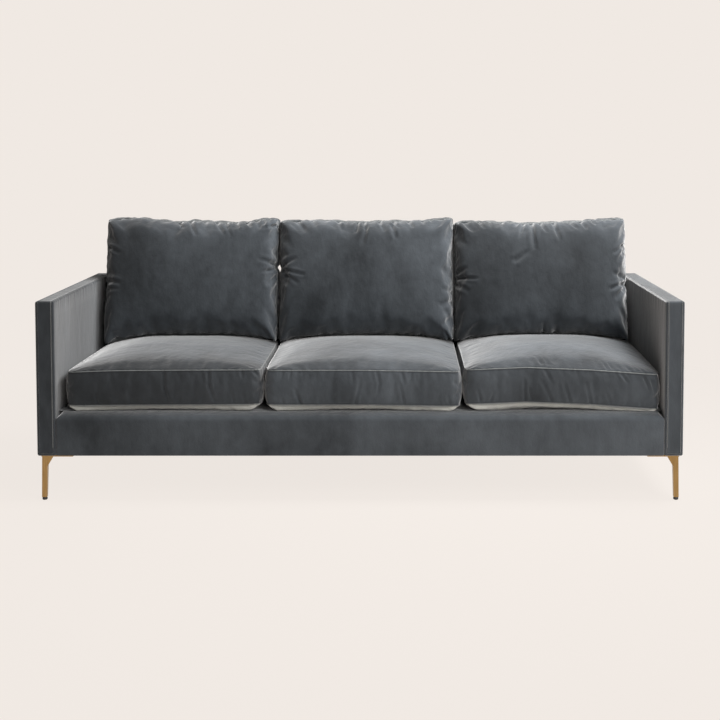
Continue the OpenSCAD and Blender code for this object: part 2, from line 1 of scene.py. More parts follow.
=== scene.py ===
# Three-seat velvet sofa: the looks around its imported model
import math
import bmesh
import bpy
import numpy as np
from mathutils import Matrix, Vector, noise
from mathutils.bvhtree import BVHTree


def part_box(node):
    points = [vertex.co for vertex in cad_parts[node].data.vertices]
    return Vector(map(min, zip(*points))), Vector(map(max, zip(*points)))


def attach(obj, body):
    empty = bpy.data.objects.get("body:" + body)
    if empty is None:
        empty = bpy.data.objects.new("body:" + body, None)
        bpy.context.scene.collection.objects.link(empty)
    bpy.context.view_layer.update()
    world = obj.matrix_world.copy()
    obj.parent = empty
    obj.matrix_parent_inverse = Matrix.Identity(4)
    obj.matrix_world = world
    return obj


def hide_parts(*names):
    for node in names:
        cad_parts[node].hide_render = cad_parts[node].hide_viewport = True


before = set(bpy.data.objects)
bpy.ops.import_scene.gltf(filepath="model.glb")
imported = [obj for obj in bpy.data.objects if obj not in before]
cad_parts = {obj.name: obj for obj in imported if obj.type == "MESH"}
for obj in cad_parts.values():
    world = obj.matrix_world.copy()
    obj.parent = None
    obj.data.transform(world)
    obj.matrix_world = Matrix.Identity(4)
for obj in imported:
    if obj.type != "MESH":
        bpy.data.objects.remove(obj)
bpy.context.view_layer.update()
scene = bpy.context.scene
print("frame loaded")

mm = 0.001
leanAngle = math.radians(13)  # of the inside back and its cushions


# ---- small helpers ----

def hexColour(code):  # an sRGB hex value as linear colour
    parts = [int(code[k:k + 2], 16) / 255 for k in (1, 3, 5)]
    return [p / 12.92 if p <= 0.04045 else ((p + 0.055) / 1.055) ** 2.4 for p in parts] + [1.0]


def addNode(tree, kind, inputs=None, stops=(), **settings):  # inputs: socket -> a value, or what to link to it
    made = tree.nodes.new("ShaderNode" + kind)
    for name, value in settings.items():
        setattr(made, name, value)
    for k, (position, code) in enumerate(stops):  # of a colour ramp
        made.color_ramp.elements[k].position = position
        made.color_ramp.elements[k].color = hexColour(code)
    for socket, value in (inputs or {}).items():
        if isinstance(value, bpy.types.Node):
            value = value.outputs[0]
        if isinstance(value, bpy.types.NodeSocket):
            tree.links.new(value, made.inputs[socket])
        else:
            made.inputs[socket].default_value = value
    return made


def setMode(mode):
    bpy.ops.object.mode_set(mode=mode)


def selectWhole():
    bpy.ops.mesh.select_all(action="SELECT")


def deselectAll():
    if bpy.context.mode != "OBJECT":
        setMode("OBJECT")
    bpy.ops.object.select_all(action="DESELECT")


def makeActive(piece):
    deselectAll()
    piece.select_set(True)
    bpy.context.view_layer.objects.active = piece


def blockBetween(name, low, high):  # a cube primitive between two corners, left in edit mode
    deselectAll()
    bpy.ops.mesh.primitive_cube_add(size=1, location=(Vector(low) + Vector(high)) / 2)
    piece = bpy.context.object
    piece.name = piece.data.name = name
    piece.scale = Vector(high) - Vector(low)
    bpy.ops.object.transform_apply(location=True, rotation=True, scale=True)
    setMode("EDIT")
    return piece


def bevelEdges(width, segments):
    bpy.ops.mesh.bevel(offset=width, segments=segments, affect="EDGES")


def pick(piece, test, kind="FACE"):  # selects the faces or edges whose middle and normal pass the test
    bpy.ops.mesh.select_mode(type=kind)
    bpy.ops.mesh.select_all(action="DESELECT")
    shape = bmesh.from_edit_mesh(piece.data)
    shape.normal_update()
    for item in shape.faces if kind == "FACE" else shape.edges:
        if kind == "FACE":
            found = test(item.calc_center_median(), item.normal)
        else:
            a, b = (v.co for v in item.verts)
            found = test((a + b) / 2, (b - a).normalized())
        if found:
            item.select_set(True)
    shape.select_flush_mode()
    bmesh.update_edit_mesh(piece.data)


def cutAcross(axis, start, step, count):  # cuts the whole piece by even planes across one axis
    for k in range(count):
        selectWhole()
        point, normal = [0, 0, 0], [0, 0, 0]
        point[axis], normal[axis] = start + k * step, 1
        bpy.ops.mesh.bisect(plane_co=point, plane_no=normal)


def moveBits(piece, move):  # sculpts: every vertex is moved by what move(point, normal) gives
    mesh = piece.data
    count = len(mesh.vertices)
    points, normals = np.empty(count * 3), np.empty(count * 3)
    mesh.vertices.foreach_get("co", points)
    mesh.vertices.foreach_get("normal", normals)
    points = move(points.reshape(-1, 3), normals.reshape(-1, 3))
    mesh.vertices.foreach_set("co", points.ravel())
    mesh.update()


def writeValues(mesh, name, values):
    mesh.attributes.new(name, "FLOAT", "POINT").data.foreach_set("value", values)


def seamGaps(mesh):
    gaps = np.empty(len(mesh.vertices))
    mesh.attributes["seam"].data.foreach_get("value", gaps)
    return gaps


def addModifier(piece, kind, **settings):
    made = piece.modifiers.new(kind.title(), kind)
    for name, value in settings.items():
        setattr(made, name, value)
    makeActive(piece)
    bpy.ops.object.modifier_apply(modifier=made.name)


def roundEdges(piece, width, angle, segments=2):
    sharp = {"limit_method": "ANGLE", "angle_limit": math.radians(angle)}
    addModifier(piece, "BEVEL", width=width, segments=segments, **sharp)


def finishPiece(piece, angle, body, material, replaced):  # angle: sharper edges stay sharp
    makeActive(piece)
    bpy.ops.object.shade_smooth_by_angle(angle=math.radians(angle))
    if material:  # none where the mesh has its materials already
        piece.data.materials.clear()
        piece.data.materials.append(material)
    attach(piece, body)
    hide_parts(*replaced)
    return piece


def copyOfNode(node, name):  # a welded copy of a CAD node, with its flat faces whole again
    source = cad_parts[node]
    piece = bpy.data.objects.new(name, source.data.copy())
    piece.data.name = name
    scene.collection.objects.link(piece)
    makeActive(piece)
    setMode("EDIT")
    selectWhole()
    bpy.ops.mesh.remove_doubles(threshold=0.01 * mm)
    bpy.ops.mesh.dissolve_limited(angle_limit=math.radians(1))
    setMode("OBJECT")
    return piece


def copyMoved(piece, name, shift):  # a copy with its own mesh, moved in its mesh
    twin = bpy.data.objects.new(name, piece.data.copy())
    twin.data.name = name
    twin.data.transform(Matrix.Translation(shift))
    scene.collection.objects.link(twin)
    return twin


def smoothNoise(points, size, seed, octaves=2):  # soft noise in -1..1 at each point, in patches of that size
    shift = Vector((seed * 13.7, seed * 7.3, seed * 3.1))
    return np.array([noise.fractal(Vector(p) / size + shift, 1.0, 2.0, octaves) for p in points])


# ---- camera ----

camera = {
    "place": (0.1302, -4.6762, 1.2036),  # from the vanishing point of the arm tops and cushion gaps
    "pitch": 3.5,  # degrees down
    "lens": 64.922,
    "shift": (-0.055, -0.2),
}
cameraData = bpy.data.cameras.new("camera")
cameraData.lens = camera["lens"]
cameraData.sensor_width = 36
cameraData.shift_x, cameraData.shift_y = camera["shift"]
cameraData.clip_end = 100
cameraPiece = bpy.data.objects.new("camera", cameraData)
cameraPiece.location = camera["place"]
cameraPiece.rotation_euler = (math.radians(90 - camera["pitch"]), 0, 0)
scene.collection.objects.link(cameraPiece)
scene.camera = cameraPiece

# ---- studio ----

studio = {
    "paper": "#f0e9e3",  # the pale paper behind and under the sofa
    "shade": 0.05,  # how much of the floor's look takes shadows
    "spread": (0.34, 0.42, 1),  # that share fades to nothing 1 / spread away from the middle
    "fill": 0.04,  # strength of the even light from all round
    "aim": (0, -0.05, 0.4),
    "lamps": (  # name, power, place and size
        ("key lamp", 225, (2.6, -3.4, 3.3), 2.0),
        ("front lamp", 36, (1.4, -5.2, 2.0), 2.0),
        ("top lamp", 245, (1.9, -0.2, 3.5), 1.6),
    ),
}


def paperAndShadow(name, world=False):
    if world:
        holder = bpy.data.worlds.new(name)
        scene.world = holder
    else:
        holder = bpy.data.materials.new(name)
    holder.use_nodes = True
    tree = holder.node_tree
    tree.nodes.clear()
    rays = addNode(tree, "LightPath").outputs
    seen = addNode(tree, "Math", {0: rays["Is Camera Ray"], 1: rays["Is Glossy Ray"]}, operation="MAXIMUM")
    seen = addNode(tree, "Math", {0: seen, 1: rays["Is Transmission Ray"]}, operation="MAXIMUM")
    paper = hexColour(studio["paper"])
    if world:
        even = addNode(tree, "Background", {"Color": (1, 1, 1, 1), "Strength": studio["fill"]})
        shown = addNode(tree, "Background", {"Color": paper, "Strength": 1.0})
        mixed = addNode(tree, "MixShader", {0: seen, 1: even, 2: shown})
        addNode(tree, "OutputWorld", {"Surface": mixed})
        return holder
    matt = addNode(tree, "BsdfDiffuse", {"Color": paper})
    glow = addNode(tree, "Emission", {"Color": paper, "Strength": 1.0})
    place = addNode(tree, "TexCoord").outputs["Object"]
    spread = addNode(tree, "Mapping", {"Vector": place, "Scale": studio["spread"]})
    near = addNode(tree, "TexGradient", {"Vector": spread}, gradient_type="SPHERICAL")
    share = addNode(tree, "Math", {0: near.outputs["Fac"], 1: studio["shade"]}, operation="MULTIPLY")
    shown = addNode(tree, "MixShader", {0: share, 1: glow, 2: matt})
    mixed = addNode(tree, "MixShader", {0: seen, 1: matt, 2: shown})
    addNode(tree, "OutputMaterial", {"Surface": mixed})
    return holder


paperAndShadow("studio air", world=True)
deselectAll()
bpy.ops.mesh.primitive_plane_add(size=60, location=(0, 0, 0))
floor = bpy.context.object
floor.name = "paper floor"
floor.data.materials.append(paperAndShadow("floor paper"))
for name, power, place, size in studio["lamps"]:
    lamp = bpy.data.lights.new(name, "AREA")
    lamp.shape = "SQUARE"
    lamp.size = size
    lamp.energy = power
    holder = bpy.data.objects.new(name, lamp)
    holder.location = place
    holder.rotation_euler = (Vector(studio["aim"]) - Vector(place)).to_track_quat("-Z", "Y").to_euler()
    scene.collection.objects.link(holder)
scene.view_settings.view_transform = "Standard"
print("studio ready")

# ---- materials ----

velvetLook = {
    "deep": "#1f2225",  # pile seen end on
    "lit": "#3d4145",  # pile brushed over
    "sheen": 0.8, "sheenTint": "#dedddc", "sheenRough": 0.43,
    "napPatch": 300 * mm,  # across a brushed patch
    "fine": 0.22,  # share of the small strokes in it
    "pile": 3.0 * mm,  # real pile is finer, drawn as coarse as it needs to show
    "beside": "#15171a",  # painted shade: the crease beside a seam drawn darker
    "paintedSeamHighlight": "#6f7170",  # painted highlight: the raised sewn edge drawn paler
    "pucker": 45 * mm,  # how far the gathers reach below a seam
}


def newMaterial(name):
    material = bpy.data.materials.new(name)
    material.use_nodes = True
    tree = material.node_tree
    tree.nodes.clear()
    return material, tree, addNode(tree, "TexCoord").outputs["Object"]


def closeMaterial(tree, look):
    addNode(tree, "OutputMaterial", {"Surface": addNode(tree, "BsdfPrincipled", look)})


# Cotton velvet: a short cut pile on a woven back. End on it is dark slate, and it
# lights up where it is seen along the surface. Brushing leaves soft patches and strokes.
def velvetMaterial(name, strokes, seams=0, puckers=None, lean=0.7,
                   deep=velvetLook["deep"], lit=velvetLook["lit"]):
    material, tree, place = newMaterial(name)
    patch = velvetLook["napPatch"]
    way = addNode(tree, "Mapping", {"Vector": place, "Scale": strokes})
    patches = addNode(tree, "TexNoise", {
        "Vector": way, "Scale": 1 / patch, "Detail": 4.0, "Roughness": 0.55, "Distortion": 0.4})
    fine = addNode(tree, "TexNoise", {"Vector": way, "Scale": 9 / patch, "Detail": 3.0, "Roughness": 0.6})
    both = addNode(tree, "Mix", {0: velvetLook["fine"], 2: patches, 3: fine}, data_type="FLOAT")
    colour = addNode(tree, "ValToRGB", {"Fac": both}, ((0.34, deep), (0.66, lit)))
    pile = addNode(tree, "TexNoise", {"Vector": place, "Scale": 1 / velvetLook["pile"], "Detail": 2.0})
    leaning = addNode(tree, "Bump", {"Height": both, "Strength": lean, "Distance": 16 * mm})
    normal = addNode(tree, "Bump", {"Height": pile, "Normal": leaning, "Strength": 0.4, "Distance": 1 * mm})
    if seams:  # an attribute paints light and shade into the colour, lighter or darker by cushion, side and place
        paintedLevel = addNode(tree, "Attribute", attribute_name="nap").outputs["Fac"]
        shine = addNode(tree, "MapRange", {
            "Value": paintedLevel, "From Min": -1.0, "From Max": 1.5, "To Min": 0.5, "To Max": 1.75})
        whole = addNode(tree, "Mix", {0: 1.0, 6: colour, 7: shine}, data_type="RGBA", blend_type="MULTIPLY")
        colour = whole.outputs[2]
        # attribute seam is the distance to the nearest seam
        away = addNode(tree, "Attribute", attribute_name="seam").outputs["Fac"]
        # painted highlight: paler along the seam itself, where its raised edge catches the light
        paintedSeamHighlight = addNode(tree, "MapRange", {
            "Value": away, "From Min": 0.0, "From Max": 3.5 * mm, "To Min": seams, "To Max": 0.0})
        # painted shade: darker in the crease beside the seam
        dark = addNode(tree, "MapRange", {
            "Value": away, "From Min": 3 * mm, "From Max": 10 * mm, "To Min": 0.35, "To Max": 0.0})
        for share, code in ((dark, velvetLook["beside"]), (paintedSeamHighlight, velvetLook["paintedSeamHighlight"])):
            tinted = addNode(tree, "Mix", {0: share, 6: colour, 7: hexColour(code)}, data_type="RGBA")
            colour = tinted.outputs[2]
    if puckers:  # short gathers below a seam at that height
        lines = addNode(tree, "Mapping", {"Vector": place, "Scale": (1, 1, 0.05)})
        gathers = addNode(tree, "TexNoise", {"Vector": lines, "Scale": 55.0, "Detail": 1.0})
        height = addNode(tree, "SeparateXYZ", {0: place}).outputs["Z"]
        reach = addNode(tree, "MapRange", {
            "Value": height, "From Min": puckers - velvetLook["pucker"], "From Max": puckers})
        pulled = addNode(tree, "Math", {0: gathers, 1: reach}, operation="MULTIPLY")
        normal = addNode(tree, "Bump", {
            "Height": pulled, "Normal": normal, "Strength": 0.6, "Distance": 4 * mm})
    closeMaterial(tree, {
        "Base Color": colour, "Roughness": 0.85, "Specular IOR Level": 0.15, "Normal": normal,
        "Sheen Weight": velvetLook["sheen"], "Sheen Roughness": velvetLook["sheenRough"],
        "Sheen Tint": hexColour(velvetLook["sheenTint"])})
    return material


# One pattern gives a plain surface its two tones, its relief (strength, mm) and, as a pair, its roughness
def plainMaterial(name, pattern, tones, rough, relief=None, stretch=None, pores=None,
                  kind="TexNoise", metal=0.0, specular=0.5):
    material, tree, place = newMaterial(name)
    if stretch:
        place = addNode(tree, "Mapping", {"Vector": place, "Scale": stretch}).outputs[0]
    marks = addNode(tree, kind, {"Vector": place, **pattern})
    if isinstance(rough, tuple):
        rough = addNode(tree, "MapRange", {"Value": marks, "To Min": rough[0], "To Max": rough[1]})
    look = {
        "Base Color": addNode(tree, "ValToRGB", {"Fac": marks}, tones), "Roughness": rough,
        "Metallic": metal, "Specular IOR Level": specular}
    if relief:
        rises = addNode(tree, "TexNoise", {"Vector": place, **pores}) if pores else marks
        strength, height = relief
        look["Normal"] = addNode(tree, "Bump", {"Height": rises, "Strength": strength, "Distance": height * mm})
    closeMaterial(tree, look)
    return material


# Woven cloths: jute webbing, polyester zip tape and black spun cloth, told apart by thread and colour
def wovenMaterial(name, dark, pale, thread):
    material, tree, place = newMaterial(name)
    weave = {"Vector": place, "Scale": 1 / (thread * mm) / math.tau, "Distortion": 0.6, "Detail": 1.0}
    warp, weft = (addNode(tree, "TexWave", weave, bands_direction=way).outputs["Fac"] for way in "XZ")
    cross = addNode(tree, "Math", {0: warp, 1: weft}, operation="MULTIPLY")
    tone = addNode(tree, "ValToRGB", {"Fac": cross}, ((0.0, dark), (0.8, pale)))
    normal = addNode(tree, "Bump", {"Height": cross, "Strength": 0.5, "Distance": 0.5 * mm})
    closeMaterial(tree, {"Base Color": tone, "Roughness": 0.9, "Specular IOR Level": 0.2, "Normal": normal})
    return material


cushionVelvet = velvetMaterial("cotton velvet on the cushions", (1, 1, 0.7), seams=1)
# Painted highlight: the seats' undersides lie in shade, and their pale colours stand in for the sheen and the
# light from the floor on them
underVelvet = velvetMaterial(
    "cotton velvet cut against the nap", (1, 1, 0.35), seams=1, deep="#a2a29d", lit="#b8b8b2")
# the arms' seams get a weaker painted highlight and the same painted shade beside them
armVelvet = velvetMaterial("cotton velvet on the arms", (1, 1, 0.45), seams=0.45, puckers=0.655, lean=0.35)
frameVelvet = velvetMaterial("cotton velvet on the back", (0.6, 1, 1), lean=0.5)
railVelvet = velvetMaterial("cotton velvet on the front rail", (0.9, 1, 0.6))
# Brushed brass: drawn along the leg, so it has long fine lines and a soft warm shine
brass = plainMaterial(
    "brushed brass", {"Scale": 1.0, "Detail": 2.0}, ((0.3, "#93744a"), (0.7, "#b39160")),
    (0.26, 0.42), relief=(0.2, 0.2), stretch=(900, 900, 14), metal=1.0)
# Kiln-dried beech and birch: planed boards, pale, with long fine grain
timber = plainMaterial(
    "planed beech", {"Scale": 2.2, "Detail": 6.0, "Roughness": 0.65, "Distortion": 0.3},
    ((0.3, "#b08b62"), (0.7, "#d2b48a")), 0.62, relief=(0.3, 0.3), stretch=(3, 34, 34),
    pores={"Scale": 26.0, "Detail": 2.0})
# Pressed hardboard: brown fibres, smooth on one face
hardboard = plainMaterial(
    "pressed hardboard", {"Scale": 240.0, "Detail": 4.0, "Roughness": 0.7},
    ((0.3, "#5d4029"), (0.7, "#85603f")), 0.55, relief=(0.25, 0.3))
# Drawn steel, oiled, zinc or nickel plated: grey metal with faint cloudy plating
springSteel, zinc, zipSteel = (
    plainMaterial(
        name, {"Scale": 90.0, "Detail": 3.0}, ((0.3, dull), (0.7, bright)), (rough, rough + 0.15), metal=1.0)
    for name, dull, bright, rough in (
        ("oiled spring steel", "#4c4f52", "#74787c", 0.35),
        ("zinc-plated steel", "#9a9d9f", "#c4c7c9", 0.3),
        ("nickelled zip metal", "#6d6f72", "#94979a", 0.28)))
# Open-cell foam: pale, matt, with fine round cells
foam = plainMaterial(
    "open-cell foam", {"Scale": 420.0}, ((0.0, "#cbbf9b"), (0.5, "#e6dcbd")), 0.95,
    relief=(0.5, 0.8), kind="TexVoronoi", specular=0.1)
webbing = wovenMaterial("woven jute webbing", "#7d6542", "#c2a777", 2.4)
blackCloth = wovenMaterial("spun black cloth", "#101012", "#232326", 1.2)
zipTape = wovenMaterial("woven zip tape", "#222529", "#43484e", 1.0)
# Moulded polyethylene glides: black, with a fine even grain
glidePlastic = plainMaterial(
    "moulded polyethylene", {"Scale": 1400.0, "Detail": 2.0}, ((0.0, "#141416"), (1.0, "#26262a")),
    0.5, relief=(0.2, 0.2))
print("materials ready")

# ---- arms ----

arms = {
    "corner": 7 * mm,  # radius of the padded edges
    "seamWidth": 1.5 * mm,
    "crease": 2.0 * mm,  # how deep the cloth is pulled in at the seam
    "beside": 5 * mm,  # where the cloth is smooth again
    "waves": 1.3 * mm,  # unevenness of the padding
}


def buildArm():
    low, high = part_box("left_arm_cover")
    middle = (low + high) / 2
    piece = blockBetween("left arm velvet", low, high)
    selectWhole()
    bevelEdges(arms["corner"], 4)

    def strip(point, normal):  # front, top and rear, in one run
        flat = abs(normal.x) < 0.05 and abs(point.x - middle.x) < 0.015
        return flat and normal.z > -0.1

    pick(piece, strip)
    sewEdge(arms["seamWidth"], arms["crease"])
    insetFaces(arms["beside"], 0)
    cutAcross(1, low.y + 0.03, 0.052, 17)
    cutAcross(2, low.z + 0.03, 0.05, 10)
    setMode("OBJECT")
    return piece, middle


def insetFaces(thickness, depth):
    bpy.ops.mesh.inset(thickness=thickness, depth=depth, use_boundary=True)


def sewEdge(width, crease):  # the picked faces are pulled in at the seam, and the sewn edge stands up in it
    insetFaces(width * 0.6, -crease)
    insetFaces(width, crease + 1.1 * mm)
    insetFaces(width, -0.9 * mm)


def markSeams(piece, middle, half, foot):  # each point's distance to the sewn edge beside the cushions
    sewn = half - arms["corner"] - 1.6 * arms["seamWidth"]
    points = np.array([vertex.co for vertex in piece.data.vertices])
    across = (middle - points[:, 0]) * math.copysign(1, middle)
    gaps = np.where(across < sewn - arms["beside"], 0.015, np.abs(across - sewn))
    gaps = np.where(points[:, 2] < foot, 0.015, gaps)
    writeValues(piece.data, "seam", gaps)


def settleCover(piece, low, high, amount, size, seed):  # soft unevenness, none at the outer edges
    low, high = np.array(low), np.array(high)

    def move(points, normals):
        inset = np.minimum(points - low, high - points)
        inset = np.sort(inset, axis=1)[:, 1]  # the flat faces lie on the nearest side, so the next one tells
        share = np.clip((inset - 0.012) / 0.05, 0, 1)[:, None]
        return points + normals * share * amount * smoothNoise(points, size, seed)[:, None]

    moveBits(piece, move)


leftArm, armMiddle = buildArm()
low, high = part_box("left_arm_cover")
settleCover(leftArm, low, high, arms["waves"], 0.12, 3)
rightArm = copyMoved(leftArm, "right arm velvet", (-2 * armMiddle.x, 0, 0))
for piece, node in ((leftArm, "left_arm_cover"), (rightArm, "right_arm_cover")):
    piece.name = piece.name.replace(" ", "_")
    middle = -armMiddle.x if piece is rightArm else armMiddle.x
    markSeams(piece, middle, (high - low).x / 2, low.z + 0.02)
    finishPiece(piece, 60, "frame", armVelvet, [node])
print("arms done")

# ---- back ----

back = {
    "corner": 7 * mm,
    "seamWidth": 1.7 * mm,
    "crease": 1.6 * mm,
    "cloth": 1.4 * mm,
    "beside": 0.3 * mm,
    "waves": 1.4 * mm,
}


def buildBack():
    low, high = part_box("back_cover")
    high.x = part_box("right_arm_cover")[0].x - back["beside"]  # it meets the arms
    low.x = -high.x
    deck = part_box("deck_padding")[0].z
    topFront = low.y + (high.z - deck) * math.tan(leanAngle)
    piece = blockBetween("frame_back_velvet", (low.x, topFront, deck), high)
    pick(piece, lambda point, way: point.y < topFront + 0.01 and point.z < deck + 0.01, "EDGE")
    bpy.ops.transform.translate(value=(0, low.y - topFront, 0))
    pick(piece, lambda point, way: abs(way.x) > 0.9 and point.z > deck + 0.1, "EDGE")
    bevelEdges(back["corner"], 4)
    pick(piece, lambda point, way: abs(abs(point.x) - high.x) < 1e-4, "EDGE")
    bevelEdges(1 * mm, 2)
    pick(piece, lambda point, normal: normal.z > 0.98)
    sewEdge(back["seamWidth"], back["crease"])
    pick(piece, lambda point, normal: normal.z < -0.5)  # the underside is open: the springs run there
    bpy.ops.mesh.delete(type="FACE")

    def rearSill(point, way):
        return point.y > high.y - 2 * mm and abs(point.z - deck) < 2 * mm and abs(way.x) > 0.9

    pick(piece, rearSill, "EDGE")
    bpy.ops.mesh.extrude_edges_move(TRANSFORM_OT_translate={"value": (0, 0, low.z - deck)})
    cutAcross(0, low.x + 0.05, 0.0735, 27)
    cutAcross(2, low.z + 0.03, 0.06, 9)
    setMode("OBJECT")
    settleCover(piece, low, high, back["waves"], 0.16, 5)
    addModifier(piece, "SOLIDIFY", thickness=back["cloth"], offset=-1)
    return finishPiece(piece, 60, "frame", frameVelvet, ["back_cover"])


buildBack()
print("back done")

# ---- front rail ----

rail = {
    "roll": 26 * mm,  # radius of the rolled top edge
    "fall": 5 * mm, "cornerCut": 16 * mm,  # the cover rounds over beside the arms
    "bottom": 5 * mm,
    "waves": 1.5 * mm,
}


def chopCorners(left, right, height):  # the cover is folded across the corner beside each arm
    for end in (left, right):
        selectWhole()
        slope = (math.copysign(1, end), 0, 1)
        bpy.ops.mesh.bisect(plane_co=(end, 0, height), plane_no=slope, clear_outer=True, use_fill=True)


def buildRail(name, inset):  # the velvet, and the wadding that lies inside it
    low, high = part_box("front_rail_cover")
    low, high = low + Vector((inset / 2, inset, inset)), high - Vector((inset / 2, 0, inset))
    piece = blockBetween(name, low, high)
    pick(piece, lambda point, way: point.y < low.y + 0.001 and point.z > high.z - 0.001, "EDGE")
    bevelEdges(rail["roll"], 8)
    chopCorners(low.x, high.x, high.z - rail["cornerCut"])
    setMode("OBJECT")
    roundEdges(piece, rail["bottom"], 30, 3)
    makeActive(piece)
    setMode("EDIT")
    cutAcross(0, low.x + 0.05, 0.0735, 27)
    cutAcross(2, low.z + 0.02, 0.024, 5)
    setMode("OBJECT")
    settleCover(piece, low, high, rail["waves"], 0.11, 8)

    def fall(points, normals):  # the padding gives way towards the front edge
        near = np.clip((high.y - 3 * mm - points[:, 1]) / rail["roll"], 0, 1)
        near *= np.clip((points[:, 2] - high.z) / rail["roll"] + 1, 0, 1)
        points[:, 2] -= rail["fall"] * near
        return points

    moveBits(piece, fall)
    return piece


finishPiece(buildRail("front_rail_velvet", 0), 60, "frame", railVelvet, ["front_rail_cover"])
piece = buildRail("front_rail_wadding", 4 * mm)
finishPiece(piece, 60, "frame", foam, ["front_rail_padding"])
piece = copyOfNode("front_rail", "front_rail_timber")  # its top corners are rounded off under the cover
setMode("EDIT")
pick(piece, lambda point, way: abs(way.y) > 0.9 and abs(point.x) > 1.0 and point.z > 0.27, "EDGE")
bevelEdges(17 * mm, 4)
setMode("OBJECT")
finishPiece(piece, 40, "frame", timber, ["front_rail"])
print("front rail done")

# ---- deck and dust cloths ----

deck = {"cloth": 0.72 * mm, "uneven": 0.3 * mm}


def buildDeck():
    low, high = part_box("deck_cloth")
    deselectAll()
    middle = ((low.x + high.x) / 2, (low.y + high.y) / 2, high.z)
    bpy.ops.mesh.primitive_grid_add(x_subdivisions=67, y_subdivisions=21, size=1, location=middle)
    piece = bpy.context.object
    piece.name = piece.data.name = "deck_velvet"
    piece.scale = (high.x - low.x, high.y - low.y, 1)
    bpy.ops.object.transform_apply(location=True, rotation=True, scale=True)

    def press(points, normals):
        points[:, 2] -= deck["uneven"] * (1 + smoothNoise(points, 0.15, 11))
        return points

    moveBits(piece, press)
    addModifier(piece, "SOLIDIFY", thickness=deck["cloth"], offset=-1)
    finishPiece(piece, 60, "frame", frameVelvet, ["deck_cloth"])


buildDeck()


def buildDustCloth():
    piece = copyOfNode("dust_cover", "dust_cloth")
    low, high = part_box("dust_cover")
    setMode("EDIT")
    cutAcross(0, low.x + 0.08, 0.08, 24)
    cutAcross(1, low.y + 0.08, 0.08, 10)
    setMode("OBJECT")

    def ripple(points, normals):
        x, y = points[:, 0], points[:, 1]
        edge = np.minimum.reduce([x - low.x, high.x - x, y - low.y, high.y - y])
        share = np.clip((edge - 0.11) / 0.12, 0, 1)
        points[:, 2] -= share * (1.6 * mm + 0.9 * mm * smoothNoise(points, 0.2, 17))
        return points

    moveBits(piece, ripple)
    finishPiece(piece, 60, "frame", blackCloth, ["dust_cover"])


buildDustCloth()
print("cloths done")

# ---- legs ----

legEdge = 0.7 * mm

for node in ("front_left_leg", "front_right_leg", "rear_left_leg", "rear_right_leg"):
    piece = copyOfNode(node, node.replace("_leg", "_brass_leg"))
    roundEdges(piece, legEdge, 40)
    finishPiece(piece, 35, "frame", brass, [node])
print("legs done")

# ---- springs ----

spring = {"wire": 3.6 * mm, "pitch": 28 * mm, "run": 30 * mm, "count": 12}


def buildSprings():
    low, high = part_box("seat_springs")
    half = spring["wire"] / 2
    height = (low.z + high.z) / 2
    first, last = low.y + half, high.y - half
    turns = round((last - first) / spring["pitch"])
    reach = spring["run"] / 2 + spring["pitch"] / 2 + half
    step = (high.x - low.x - 2 * reach) / (spring["count"] - 1)
    curve = bpy.data.curves.new("springs", "CURVE")
    curve.dimensions = "3D"
    curve.bevel_depth = half
    curve.bevel_resolution = 2
    for k in range(spring["count"]):
        middle = low.x + reach + k * step
        path = []
        for j in range(turns + 1):
            way = 1 if j % 2 == 0 else -1
            y = first + j * spring["pitch"]
            path.append((middle - way * spring["run"] / 2, y))
            path.append((middle + way * spring["run"] / 2, y))
            if j < turns:
                for a in range(1, 8):
                    turn = math.pi * a / 8
                    path.append((middle + way * (spring["run"] / 2 + math.sin(turn) * spring["pitch"] / 2),
                                 y + spring["pitch"] / 2 * (1 - math.cos(turn))))
        line = curve.splines.new("POLY")
        line.points.add(len(path) - 1)
        for point, (x, y) in zip(line.points, path):
            point.co = (x, y, height, 1)
    curve.use_fill_caps = True
    holder = bpy.data.objects.new("seat_spring_wires", curve)
    scene.collection.objects.link(holder)
    makeActive(holder)
    bpy.ops.object.convert(target="MESH")
    piece = bpy.context.object
    return finishPiece(piece, 50, "frame", springSteel, ["seat_springs"])


buildSprings()
print("springs done")

# ---- hidden padding ----


def treeOf(piece):
    shape = bmesh.new()
    shape.from_mesh(piece.data)
    tree = BVHTree.FromBMesh(shape)
    shape.free()
    return tree


def fitInside(piece, tree, gap, most=1.0):  # the filling keeps inside its cover
    def draw(points, normals):
        for k, point in enumerate(points):
            near, way, face, away = tree.find_nearest(Vector(point))
            short = gap + (Vector(point) - near).dot(way)
            if 0 < short < most:
                points[k] = Vector(point) - way * short
        return points

    moveBits(piece, draw)


padding = {"edge": 1.2 * mm, "clear": 2 * mm, "pressed": 3.2 * mm}  # pressed: how much the covers flatten it

for node, name in (("left_arm_padding", "left_arm_wadding"), ("right_arm_padding", "right_arm_wadding"),
                   ("back_padding", "back_wadding"), ("deck_padding", "deck_wadding")):
    piece = copyOfNode(node, name)
    if node == "deck_padding":  # cut as the front rail's corners are
        low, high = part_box("front_rail_cover")
        setMode("EDIT")
        chopCorners(low.x, high.x, high.z - rail["cornerCut"] - 9 * mm)
        setMode("OBJECT")
    roundEdges(piece, padding["edge"], 50)
    moveBits(piece, lambda points, normals: points - normals * padding["pressed"])
    if "arm" in node:
        fitInside(piece, treeOf(leftArm if "left" in node else rightArm), padding["clear"])
    finishPiece(piece, 50, "frame", foam, [node])

piece = copyOfNode("back_webbing", "back_straps")
roundEdges(piece, 0.3 * mm, 50, 1)
finishPiece(piece, 50, "frame", webbing, ["back_webbing"])
print("padding done")

# ---- cushions ----

